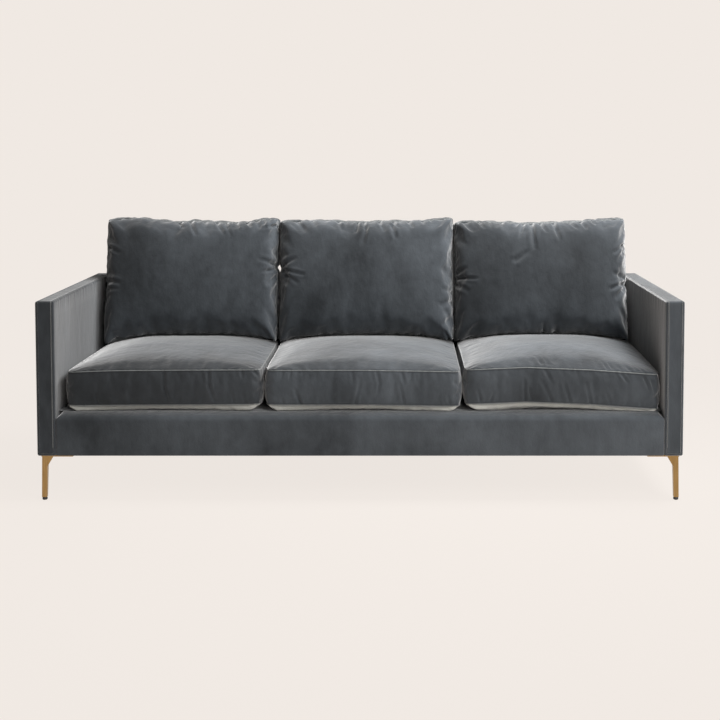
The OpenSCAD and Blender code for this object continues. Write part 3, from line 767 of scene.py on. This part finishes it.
seatPad = {
    "width": 660, "depth": 650, "band": 118, "crown": 50, "roll": 20,  # mm, as the CAD cushion
    "pitch": 664, "round": 24,  # pitch: from one cushion to the next; round: how square its corners are
    "inset": 5, "drawIn": 3, "bandBulge": 4,  # the seams lie in from the fullest outline
    "topEdge": {"reach": (46, 40), "angle": 76, "rise": 8, "plateau": 1.9},  # how the cloth turns over the edge
    "underEdge": {"reach": (74, 15), "angle": 84, "rise": 20, "plateau": 4.0},
    "cells": (88, 88, 15), "tuck": 78, "shoulder": 0.8,
    "start": 13,  # how much lower its crown is before it swells
    "cap": 9, "pressure": 4.0, "taller": 0,
    "slack": 0.02,  # how much larger the cloth is than its filling
    "gather": 1.6, "soft": 2.0, "crease": 1.3, "deepest": 7,
    "fullest": 98,  # the share of its width that stays inside the span
    "paintedSides": {"left": (-1.2, 50)},  # painted shade: how much lighter or darker a side is drawn, and over how many mm; the left side by the arm is drawn darker
    "seed": 20,
}
backPad = {
    "width": 656, "depth": 428, "band": 84, "crown": 86, "roll": 25,
    "pitch": 660, "round": 26,
    "inset": 2, "drawIn": 6, "bandBulge": 3,
    "topEdge": {"reach": (62, 58), "angle": 64, "rise": 36, "plateau": 2.1},
    "underEdge": {"reach": (50, 50), "angle": 84, "rise": 25, "plateau": 4.0},
    "cells": (88, 62, 11), "tuck": 30, "droop": 18, "start": 8,  # droop: how far its lower corners hang
    "cap": 12, "pressure": 4.0, "slack": 0.06,
    "taller": 18,  # what the sewing takes off it and the filling gives back
    "gather": 2.6, "soft": 3.0, "crease": 2.0, "deepest": 10, "fullest": 95,
    # painted highlight along the top and the right-hand edge, where the light falls, painted shade down the
    # left, and the foot drawn a little lighter
    "paintedSides": {"top": (1.3, 34), "right": (1.3, 60), "left": (-0.5, 70), "foot": (0.6, 60)},
    "seed": 30,
}
pads = {"seat": seatPad, "back": backPad}
turn = {"at": -225, "wander": 55, "soft": 60}  # mm: where a seat's face goes from painted shade at the front to painted sheen behind
spans = {  # mm along the sofa: where each cushion lies between its neighbours
    "seat": {"left": (-984, -324), "centre": (-321, 339), "right": (341, 1001)},
    "back": {"left": (-983, -327.6), "centre": (-326.4, 334.4), "right": (335.6, 990)},
}
plumper = {"left": 0, "centre": 1, "right": 9}  # mm that a seat cushion's crown stands higher
brushed = {  # painted light and shade: how much lighter or darker a cushion's face and band are drawn
    "seat": {"left": (-0.2, -0.9), "centre": (0.8, 0.05), "right": (0.85, -0.35)},
    "back": {"left": (0, 0), "centre": (0.1, 0), "right": (-0.35, 0)},
}
frontLine = {  # x and mm that a seat's front edge stands higher there
    "left": ((-330, -1), (0, 1), (330, 3)),
    "centre": ((-330, 1), (0, 1), (330, -4)),
    "right": ((-330, 2), (-120, 11), (100, 2), (330, -15)),
}
sideFall = (5, 14)  # mm that the left seat is thinner along the arm, in front and behind
topLine = {  # x and mm that a back cushion's top stands higher there
    "left": (
        (-326, 0), (-264, 6), (-190, 6), (-100, -2), (-55, -8), (0, -2), (130, -8), (200, -9),
        (265, 2), (326, 2)),
    "centre": ((-326, -5), (-200, -3), (-145, 0), (-35, -7), (80, -3), (190, -4), (240, 0), (326, 6)),
    "right": ((-326, -12), (-290, -7), (-110, -7), (-60, -12), (20, -9), (110, -7), (220, 0), (326, 4)),
}


def slidBy(kind, order, side):  # how far a cushion has slid from its place in the drawing
    low, high = spans[kind][side]
    return ((low + high) / 2 - (order - 1) * pads[kind]["pitch"]) * mm


def edgeWay(edge):  # the cloth's way from a seam over the edge: how far out and how high, by steps
    steps = 48
    turn = np.radians(edge["angle"] + (180 - edge["angle"]) * ((np.arange(steps) + 0.5) / steps) ** 0.85)
    out = np.concatenate([[0], np.cumsum(np.cos(turn))]) / steps
    up = np.concatenate([[0], np.cumsum(np.sin(turn))])
    return np.linspace(0, 1, steps + 1), out, up / up[-1]


def overEdge(share, half, reach, way):  # share: 0 in the middle, 1 at the seam
    steps, out, up = way
    away = (1 - np.abs(share)) * half
    near = np.clip(away / reach, 0, 1)
    past = (half + out[-1] * reach) * (half - away) / (half - reach)
    place = np.where(away < reach, half + np.interp(near, steps, out) * reach, past)
    return np.copysign(place, share), np.interp(near, steps, up)


def padFace(u, v, pad, edge, height):  # one face of a pad: x, y and how far it stands off its seams
    way = edgeWay(edge)
    halfX, halfY = pad["width"] / 2 - pad["inset"], pad["depth"] / 2 - pad["inset"]
    overX, upX = overEdge(u, halfX, edge["reach"][0], way)
    overY, upY = overEdge(v, halfY, edge["reach"][1], way)
    x = u * halfX + (overX - u * halfX) * np.minimum(1, 1.5 * upY)
    y = v * halfY + (overY - v * halfY) * np.minimum(1, 1.5 * upX)
    power = edge["plateau"]
    dome = (1 - np.abs(u) ** power) * (1 - np.abs(v) ** power)
    return x, y, edge["rise"] * upX * upY + (height - edge["rise"]) * dome


def buildPad(name, pad, plump, paintedLevels):  # a boxed cushion on z = 0, in mm, with its seams as edge loops
    deselectAll()
    nx, ny, nz = pad["cells"]
    bpy.ops.mesh.primitive_grid_add(x_subdivisions=nx, y_subdivisions=ny, size=2, location=(0, 0, 0))
    piece = bpy.context.object
    piece.name = piece.data.name = name
    setMode("EDIT")
    selectWhole()
    bpy.ops.mesh.extrude_region_move(TRANSFORM_OT_translate={"value": (0, 0, 1)})
    pick(piece, lambda point, way: abs(way.z) > 0.9, "EDGE")
    bpy.ops.mesh.subdivide(number_cuts=nz - 1)
    selectWhole()
    bpy.ops.mesh.normals_make_consistent(inside=False)
    setMode("OBJECT")
    mesh = piece.data
    mesh.materials.append(cushionVelvet)
    mesh.materials.append(underVelvet)
    for face in mesh.polygons:
        face.material_index = int(pad is seatPad and face.center.z < 1e-4)
    grid = np.empty(len(mesh.vertices) * 3)
    mesh.vertices.foreach_get("co", grid)
    u, v, w = grid.reshape(-1, 3).T
    u, v = (np.sin(a * math.pi / 2) * 0.45 + a * 0.55 for a in (u, v))  # closer rows beside the seams
    atSeam = np.maximum(np.abs(u), np.abs(v)) > 0.99999
    low, top = pad["roll"], pad["roll"] + pad["band"]
    overX, overY, rise = padFace(u, v, pad, pad["topEdge"], pad["crown"] + plump - pad["start"])
    underX, underY, drop = padFace(u, v, pad, pad["underEdge"], pad["roll"])
    drop = drop * np.clip(0.2 + (1 - np.abs(u)) * pad["width"] / 2 / pad["tuck"], 0, 1)
    above = w > 0.5
    x, y = np.where(above, overX, underX), np.where(above, overY, underY)
    z = np.where(above, top + rise, low - drop)
    halfX, halfY = pad["width"] / 2 - pad["inset"], pad["depth"] / 2 - pad["inset"]
    bulge = pad["bandBulge"] * np.sin(math.pi * w)
    x = np.where(atSeam, u * (halfX + bulge), x)
    y = np.where(atSeam, v * (halfY + bulge), y)
    z = np.where(atSeam, low + pad["band"] * w, z)
    ring = np.maximum(np.abs(u), np.abs(v))
    power = pad["round"]
    norm = (np.abs(u) ** power + np.abs(v) ** power) ** (1 / power)
    corner = 1 + (ring / np.maximum(norm, 1e-9) - 1) * ring ** 16
    drawn = (pad["drawIn"] * (1 - np.abs(v) ** 10) / halfX, pad["drawIn"] * (1 - np.abs(u) ** 10) / halfY)
    x, y = x * corner * (1 - drawn[0]), y * corner * (1 - drawn[1])
    inFace = np.minimum(halfX * (1 - np.abs(u)), halfY * (1 - np.abs(v)))
    gaps = np.where(atSeam, np.minimum(w, 1 - w) * pad["band"], inFace)
    mesh.vertices.foreach_set("co", np.stack([x, y, z], 1).ravel() * mm)
    writeValues(mesh, "seam", gaps * mm)
    # painted light and shade: each face is drawn lighter or darker as a whole and along some sides, a seat's
    # face darker in front and lighter behind, and the band lighter or darker as a whole
    away = {"left": halfX + x, "right": halfX - x, "foot": halfY + y, "top": halfY - y}
    nap = paintedLevels[0] + sum(amount * np.exp(-away[side] / reach) for side, (amount, reach) in pad["paintedSides"].items())
    if pad is seatPad:
        wander = smoothNoise(np.stack([x, 0 * x, 0 * x], 1) * mm, 0.11, 50 + plump, 3)
        nap += np.clip((y - turn["at"] - turn["wander"] * wander) / turn["soft"], -1, 1)
    nap = np.where(atSeam, paintedLevels[1], np.where(above, nap, 0))
    writeValues(mesh, "nap", nap)
    mesh.update()
    return piece


def inflate(piece, pad):  # the cloth is a bit larger than its filling, and the seams hold it in
    mesh = piece.data
    group = piece.vertex_groups.new(name="sewn")
    group.add([int(k) for k in np.flatnonzero(seamGaps(mesh) < 0.5 * mm)], 1.0, "REPLACE")
    start = np.array([v.co for v in mesh.vertices])
    cloth = piece.modifiers.new("Cloth", "CLOTH")
    settings = cloth.settings
    settings.quality = 5
    settings.use_pressure = True
    settings.uniform_pressure_force = pad["pressure"]
    settings.effector_weights.gravity = 0
    settings.shrink_min = -pad["slack"]
    settings.vertex_group_mass = "sewn"
    settings.bending_stiffness = 0.4
    scene.frame_start, scene.frame_end = 1, 20
    for step in range(1, 21):
        scene.frame_set(step)
    graph = bpy.context.evaluated_depsgraph_get()
    swollen = np.array([v.co for v in piece.evaluated_get(graph).data.vertices])
    piece.modifiers.remove(cloth)
    scene.frame_set(1)
    moved = swollen - start
    length = np.linalg.norm(moved, axis=1, keepdims=True)
    cap = pad["cap"] * mm
    moved *= np.where(length > 1e-9, cap * np.tanh(length / cap) / np.maximum(length, 1e-9), 1)
    mesh.vertices.foreach_set("co", (start + moved).ravel())
    mesh.update()


def creaseIn(flat, creases):  # each crease: x, y where it is deep, x, y where it ends, width, depth, in mm
    out = np.zeros(len(flat))
    for x0, y0, x1, y1, width, depth in creases:
        start, line = np.array((x0, y0), float), np.array((x1 - x0, y1 - y0), float)
        long = np.linalg.norm(line)
        off = flat - start
        along = off @ line / long
        side = off @ np.array([-line[1], line[0]]) / long
        taper = np.clip(1 - along / long, 0, 1) ** 0.6 * np.clip(1 + along / (1.6 * width), 0, 1)
        out -= depth * taper * np.exp(-(side / width) ** 2)
        out += 0.45 * depth * taper * np.exp(-((np.abs(side) - 1.9 * width) / width) ** 2)
    return out


# folds: creases on the face and the front band, and pinches at the sides
def finishPad(piece, pad, folds, seed):
    addModifier(piece, "SUBSURF", levels=1, render_levels=1)
    gaps = seamGaps(piece.data)
    top = pad["roll"] + pad["band"]
    halfX = pad["width"] / 2

    def sculpt(points, normals):
        flat = points / mm
        for side, height, depth, spread in folds.get("pinch", ()):  # in mm
            near = np.exp(-((flat[:, 1] - height) / spread) ** 2)
            inward = np.clip((side * flat[:, 0] - halfX + 70) / 70, 0, 1) ** 1.5
            points[:, 0] -= side * depth * mm * near * inward
        onFace = np.clip((flat[:, 2] - top + 2) / 10, 0, 1)
        lift = onFace * pad["crease"] * creaseIn(flat[:, :2], folds["face"])
        if "band" in folds:
            onFront = np.clip((-flat[:, 1] - pad["depth"] / 2 + 22) / 10, 0, 1)
            between = np.clip((flat[:, 2] - pad["roll"]) / 8, 0, 1) * np.clip((top - flat[:, 2]) / 8, 0, 1)
            lift += onFront * between * pad["crease"] * creaseIn(flat[:, (0, 2)], folds["band"])
        most = np.where(lift < 0, pad["deepest"], 3)
        lift = most * np.tanh(lift / most) * (1 - np.exp(-gaps / 0.007))
        fade = np.exp(-gaps / 0.030) * (1 - np.exp(-gaps / 0.006))
        run = points * (1, 1, 0.3)
        lift += fade * smoothNoise(run, 0.028, seed, 1) * pad["gather"]
        lift += smoothNoise(points, 0.17, seed + 40) * pad["soft"] * np.clip(gaps / 0.05, 0, 1)
        lift += np.where(gaps < 0.0012, 2.2, np.where(gaps < 0.0058, -1.0, 0))  # the sewn edge stands up
        return points + normals * (lift * mm)[:, None]

    moveBits(piece, sculpt)


def settlePad(piece, pad, span, line):  # flat where it lies on something or leans on its neighbour
    half = (span[1] - span[0]) / 2 * mm
    rear = pad["depth"] / 2 * mm - 0.4 * mm

    def press(points, normals):
        points[:, 1] += pad["taller"] * mm * np.clip(points[:, 1] / (2 * rear) + 0.5, 0, 1.1)
        lifted = np.interp(points[:, 0] / mm, *zip(*line)) * mm
        if pad is seatPad:
            over = np.maximum(points[:, 2] - (pad["roll"] + pad["band"]) * mm, 0)
            aside = np.clip((np.abs(points[:, 0]) / half - 0.25) / 0.75, 0, 1)
            points[:, 2] -= over * pad["shoulder"] * aside ** 2.8
            points[:, 2] += lifted * np.clip(0.5 - points[:, 1] / pad["depth"] / mm, 0, 1) ** 2
            if line is frontLine["left"]:
                thin = sideFall[0] + (sideFall[1] - sideFall[0]) * (0.5 + points[:, 1] / pad["depth"] / mm)
                near = np.clip((-points[:, 0] / half - 0.4) / 0.6, 0, 1) ** 1.5
                high = np.clip(points[:, 2] / (pad["roll"] + pad["band"]) / mm, 0, 1)
                points[:, 2] -= thin * mm * near * high
        else:
            points[:, 1] += lifted * np.clip(0.5 + points[:, 1] / pad["depth"] / mm, 0, 1.1) ** 3
            low = np.clip(0.5 - points[:, 1] / pad["depth"] / mm, 0, 1.1) ** 3
            points[:, 1] -= pad["droop"] * mm * np.clip(np.abs(points[:, 0]) / half, 0, 1) ** 5 * low
        points[:, 2] = np.maximum(points[:, 2], 0.0004)
        reach = np.percentile(np.abs(points[:, 0]), pad["fullest"])
        points[:, 0] = np.clip(points[:, 0] * half / reach, -half, half)
        if pad is seatPad:
            points[:, 1] = np.minimum(points[:, 1], rear)
        return points

    moveBits(piece, press)


upSlope = np.array((0, math.sin(leanAngle), math.cos(leanAngle)))
offSlope = np.array((0, -math.cos(leanAngle), math.sin(leanAngle)))
backFoot = np.array((0, 0.27203, 0.43454))
rest = {
    "columns": 34, "rows": np.array((0.045, 0.075, 0.105, 0.130)),  # where the room under a foot is measured
    "sole": 0.030, "rear": 0.03, "front": 0.145,  # the part of it that looks down
    "most": 0.040,  # how far it can sink
    "fade": 0.15,  # nothing sinks above this height
    "apart": 0.8 * mm,
}


def restOnSeats(piece, trees):  # the foot of a back cushion sinks until it lies on the seat cushions
    def surface(point):
        hits = [tree.ray_cast(Vector((point[0], point[1], 0.60)), Vector((0, 0, -1)))[0] for tree in trees]
        hits = [hit.z for hit in hits if hit]
        return max(hits) if hits else None

    def sink(points, normals):
        up = (points - backFoot) @ upSlope
        off = (points - backFoot) @ offSlope
        columns = np.linspace(points[:, 0].min(), points[:, 0].max(), rest["columns"])
        rows = rest["rows"]
        clear = np.full((len(columns), len(rows)), rest["most"])
        sole = (up < rest["sole"]) & (off > rest["rear"]) & (off < rest["front"])
        for k in np.flatnonzero(sole & (normals @ upSlope < -0.2)):
            below = surface(points[k])
            if below is None:
                continue
            i = int(np.abs(columns - points[k, 0]).argmin())
            j = int(np.abs(rows - off[k]).argmin())
            clear[i, j] = min(clear[i, j], points[k, 2] - below - 0.001)
        for again in range(3):
            padded = np.pad(clear, ((2, 2), (0, 0)), mode="edge")
            clear = np.minimum(clear, sum(padded[k:k + len(columns)] for k in range(5)) / 5)
        across = np.stack([np.interp(points[:, 0], columns, clear[:, j]) for j in range(len(rows))], 1)
        step = np.clip(np.interp(off, rows, np.arange(len(rows))), 0, len(rows) - 1.001)
        first = step.astype(int)
        each = np.arange(len(points))
        amount = across[each, first] * (1 - step + first) + across[each, first + 1] * (step - first)
        fall = (1 - np.clip(up / rest["fade"], 0, 1)) ** 2
        points = points - upSlope * (amount * fall)[:, None]
        for k in np.flatnonzero(up < 0.08):
            below = surface(points[k])
            if below is not None:
                points[k, 2] = max(points[k, 2], below + rest["apart"])
        return points

    moveBits(piece, sink)


seatFolds = {
    "left": {
        "band": [
            (2, 135, 3, 74, 5, 3), (3, 81, 18, 24, 5, 4), (149, 135, 154, 77, 5, 3.5),
            (152, 87, 172, 24, 5, 4.5), (262, 137, 263, 107, 4.5, 3.5), (301, 135, 318, 111, 4.5, 3.5),
            (-255, 24, -259, 41, 4, 2.5), (-219, 24, -227, 61, 4.5, 3), (-109, 24, -118, 77, 5, 2.5),
            (234, 24, 225, 71, 4.5, 3), (89, 134, 91, 101, 5, 1.8), (-176, 134, -169, 94, 6, 1.6),
            (-60, 28, -65, 64, 5, 1.8), (272, 28, 262, 61, 5, 2),
        ],
        "face": [(313, -313, 269, -281, 7, 3), (-306, -313, -274, -281, 7, 2.5)],
    },
    "centre": {
        "band": [
            (-37, 134, -32, 91, 4.5, 3.5), (-27, 24, -9, 104, 5, 4.5), (46, 134, 56, 84, 4.5, 3.5),
            (53, 87, 46, 48, 4.5, 2.5), (129, 134, 136, 94, 4.5, 3.5), (136, 24, 119, 104, 4.5, 4),
            (-209, 24, -229, 81, 5, 4.5), (-264, 24, -272, 48, 4.5, 2.5), (-265, 134, -272, 107, 4, 2),
            (-239, 134, -246, 104, 4, 2), (-199, 134, -202, 111, 4, 1.8), (162, 134, 159, 104, 4.5, 2.2),
            (189, 134, 192, 107, 4.5, 1.8), (255, 28, 248, 54, 5, 1.8), (-143, 28, -149, 58, 5, 1.6),
            (288, 28, 278, 64, 5, 2),
        ],
        "face": [(-297, -309, -278, -269, 7, 2.5), (305, -315, 280, -277, 7, 2.5)],
    },
    "right": {
        "band": [
            (-66, 147, -31, 81, 5, 4), (-38, 31, -72, 101, 5.5, 4.5), (24, 28, 2, 97, 5, 5),
            (-125, 31, -129, 104, 4.5, 4.5), (-102, 31, -115, 74, 5, 2.8), (93, 24, 78, 97, 5, 4.5),
            (163, 18, 143, 71, 5, 3.5), (196, 131, 218, 101, 4.5, 4), (179, 131, 193, 104, 4.5, 2),
            (272, 121, 289, 81, 4.5, 3.5), (295, 117, 309, 68, 5, 3), (269, 11, 256, 48, 5, 3),
            (-238, 31, -228, 64, 4.5, 3), (-273, 34, -284, 71, 5, 4.5), (-185, 140, -182, 111, 5, 1.8),
            (27, 140, 34, 114, 5, 1.8), (116, 21, 107, 51, 5, 2),
        ],
        "face": [
            (151, -313, 135, -273, 5, 3), (169, -315, 154, -281, 5, 2.5), (230, -323, 214, -286, 5, 3),
            (279, -332, 258, -290, 5, 3), (-69, -298, -87, -248, 6, 3), (-46, -302, -62, -264, 6, 2),
            (-313, -311, -278, -277, 6, 3), (198, -319, 183, -290, 5, 2),
        ],
    },
}
backFolds = {
    "left": {
        "pinch": [(1, 38, 12, 11), (-1, -32, 4, 16)],
        "face": [
            (-63, 220, -29, 171, 5, 7), (-17, 218, 24, 139, 6, 6.5), (81, 218, 127, 147, 5.5, 5),
            (121, 214, 154, 139, 5, 3.5), (157, 218, 185, 159, 5, 3), (190, 220, 227, 176, 5, 7),
            (39, 218, 58, 167, 7, 3), (234, 226, 260, 163, 7, 3.5), (315, 180, 264, 163, 5, 3),
            (314, 214, 261, 214, 6, 3), (268, 226, 295, 155, 6, -3), (-304, 97, -258, 74, 6, 4),
            (-309, -20, -252, -33, 7, 6), (-311, -52, -259, -48, 6, 3.5), (340, 30, 269, 8, 5, 7),
            (340, 36, 253, 55, 7, 5), (336, 21, 285, -39, 6, 5), (337, 2, 301, -83, 7, 4),
            (336, 51, 297, 104, 8, 3.5), (-316, -229, -242, -186, 8, 3.5), (331, -229, 272, -171, 8, 3.5),
        ],
    },
    "centre": {
        "pinch": [(-1, 34, 9, 14)],
        "face": [
            (-30, 220, -39, 151, 6, 7), (-14, 214, 1, 151, 6, 5), (1, 176, -12, 104, 7, 4.5),
            (39, 218, 71, 155, 5.5, 5), (87, 222, 120, 169, 5, 7.5), (97, 180, 112, 124, 7, 4.5),
            (147, 218, 177, 171, 5.5, 4), (198, 222, 219, 183, 5, 3.5), (231, 224, 249, 192, 5, 3.5),
            (-114, 218, -88, 159, 6, 3.5), (-271, 218, -220, 155, 8, 3.5), (-213, 218, -178, 163, 7, 2.5),
            (-83, 218, -69, 171, 6, 2.5), (-310, 19, -224, -2, 5, 7), (-311, 36, -255, 62, 7, 5),
            (-306, 10, -246, -35, 6, 3.5), (321, -61, 277, -50, 8, 3), (321, -91, 269, -109, 8, 3),
            (317, -142, 280, -171, 8, 3), (336, -226, 288, -182, 5, 6), (239, -248, 194, -182, 10, 3),
            (183, -248, 168, -200, 8, 2.5), (-311, -244, -267, -211, 6, 4),
        ],
    },
    "right": {
        "pinch": [(-1, -13, 6, 14), (1, 108, 6, 10), (1, -28, 8, 11)],
        "face": [
            (-72, 218, -99, 180, 6, 6), (-60, 218, -83, 135, 6, 6.5), (-34, 209, -28, 89, 8, 8),
            (-10, 218, 23, 155, 5.5, 7), (47, 214, 67, 124, 6.5, 6), (89, 222, 141, 167, 4.5, 7.5),
            (143, 218, 175, 163, 5.5, 4.5), (177, 224, 208, 180, 4.5, 7), (227, 230, 252, 190, 6, 3),
            (-244, 218, -210, 171, 5, 5), (-298, 218, -252, 159, 8, 3.5), (-198, 218, -184, 167, 6, 2.5),
            (-148, 218, -142, 163, 7, 2.5), (-97, 51, -51, 89, 9, 4), (-326, -9, -236, -15, 5, 6.5),
            (-322, -28, -270, -61, 7, 4), (-322, 6, -277, 28, 7, 4), (315, 108, 268, 74, 6, 6),
            (310, 89, 285, 43, 7, 4), (312, -28, 248, -54, 6, 8), (312, -39, 270, -87, 8, 5),
            (309, -9, 261, 6, 8, 4), (11, -251, 1, -164, 5, 4), (52, -251, 49, -175, 9, 5),
            (-100, -244, -77, -200, 8, 3), (190, -248, 206, -186, 14, 4), (317, -229, 258, -157, 12, 4),
        ],
    },
}

covers = {}
sides = ("left", "centre", "right")


def shapePad(kind, order, side, folds, lines, matrix):
    pad, span = pads[kind], spans[kind][side]
    plump = plumper[side] if kind == "seat" else 0
    piece = buildPad(f"{kind}_cushion_velvet_{side}", pad, plump, brushed[kind][side])
    inflate(piece, pad)
    finishPad(piece, pad, folds[side], pad["seed"] + order)
    settlePad(piece, pad, span, lines[side])
    piece.data.transform(Matrix.Translation(((span[0] + span[1]) / 2 * mm, 0, 0)) @ matrix)
    piece.data.update()
    return piece


def closePad(piece, kind, side):
    finishPiece(piece, 180, f"{kind}_cushion_{side}", None, [f"{kind}_cover_{side}"])
    covers[kind, side] = treeOf(piece)
    print(kind, "cushion", side, "done")


for order, side in enumerate(sides):
    piece = shapePad("seat", order, side, seatFolds, frontLine, Matrix.Translation((0, -0.090, 0.2918)))
    closePad(piece, "seat", side)

seatTrees = list(covers.values())
turned = Matrix.Rotation(math.pi / 2 - leanAngle, 4, "X") @ Matrix.Translation((0, 0.214, 0.0003))
for order, side in enumerate(sides):
    piece = shapePad("back", order, side, backFolds, topLine, Matrix.Translation(backFoot) @ turned)
    restOnSeats(piece, seatTrees)
    closePad(piece, "back", side)

# ---- cushion cores and zips ----

core = {
    "voxel": 14 * mm,
    "drawnIn": 17 * mm, "gap": 8 * mm,  # how far it lies inside its drawn shape and its cover
    "most": 14 * mm,  # the furthest that a point is moved for that
}

for order, side in enumerate(sides):
    for kind in ("seat", "back"):
        piece = copyOfNode(f"{kind}_core_{side}", f"{kind}_cushion_foam_{side}")
        addModifier(piece, "REMESH", mode="VOXEL", voxel_size=core["voxel"])
        addModifier(piece, "SMOOTH", factor=0.5, iterations=6)
        slid = slidBy(kind, order, side)
        moveBits(piece, lambda points, normals: points - normals * core["drawnIn"] + (slid, 0, 0))
        fitInside(piece, covers[kind, side], core["gap"], core["most"])
        addModifier(piece, "SMOOTH", factor=0.5, iterations=4)
        finishPiece(piece, 180, f"{kind}_cushion_{side}", foam, [f"{kind}_core_{side}"])
print("cores done")


zipper = {"tape": 1.2 * mm, "pitch": 3 * mm, "tooth": 1.9 * mm, "edge": 0.35 * mm}


def buildZip(order, side):
    low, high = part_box("seat_zip_" + side)
    tapeEnd = low.y + zipper["tape"]
    middle = (low.z + high.z) / 2
    tape = blockBetween("seat_zip_tape_" + side, low, (high.x, tapeEnd, high.z))
    pick(tape, lambda point, way: abs(way.x) < 0.1, "EDGE")
    bevelEdges(0.4 * mm, 2)
    cutAcross(0, low.x + 0.02, 0.02, 26)
    setMode("OBJECT")
    tooth = blockBetween("tooth", (low.x, tapeEnd - 0.3 * mm, middle - 3 * mm),
                         (low.x + zipper["tooth"], tapeEnd + 1.3 * mm, middle + 0.6 * mm))
    selectWhole()
    bevelEdges(zipper["edge"], 1)
    setMode("OBJECT")
    other = copyMoved(tooth, "other tooth", (zipper["pitch"] / 2, 0, 2.4 * mm))
    count = int((high.x - low.x - 4 * mm) / zipper["pitch"])
    for half in (tooth, other):
        addModifier(half, "ARRAY", count=count, use_relative_offset=False, use_constant_offset=True,
                    constant_offset_displace=(zipper["pitch"], 0, 0))
        half.data.materials.clear()
        half.data.materials.append(zipSteel)
    finishPiece(tape, 40, "seat_cushion_" + side, zipTape, ["seat_zip_" + side])
    makeActive(tape)
    tooth.select_set(True)
    other.select_set(True)
    bpy.ops.object.join()
    tape.data.transform(Matrix.Translation((slidBy("seat", order, side), 0, 0)))


for order, side in enumerate(sides):
    buildZip(order, side)
    piece = copyOfNode("zip_slider_" + side, "zip_puller_" + side)
    piece.data.transform(Matrix.Translation((slidBy("seat", order, side), 0, 0)))
    roundEdges(piece, 0.6 * mm, 40)
    finishPiece(piece, 40, "zip_pull_" + side, zipSteel, ["zip_slider_" + side])
print("cores and zips done")

# ---- CAD nodes that stay ----

nodeFinish = {
    "hardwood": timber, "hardboard": hardboard, "zinc": zinc, "black_plastic": glidePlastic,
    "webbing": webbing, "foam": foam, "brushed_brass": brass, "spring_steel": springSteel,
    "velvet": frameVelvet, "black_cloth": blackCloth, "zip_tape": zipTape,
}
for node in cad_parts.values():
    for slot in node.material_slots:
        slot.material = nodeFinish[slot.material.name]
print("all pieces done")
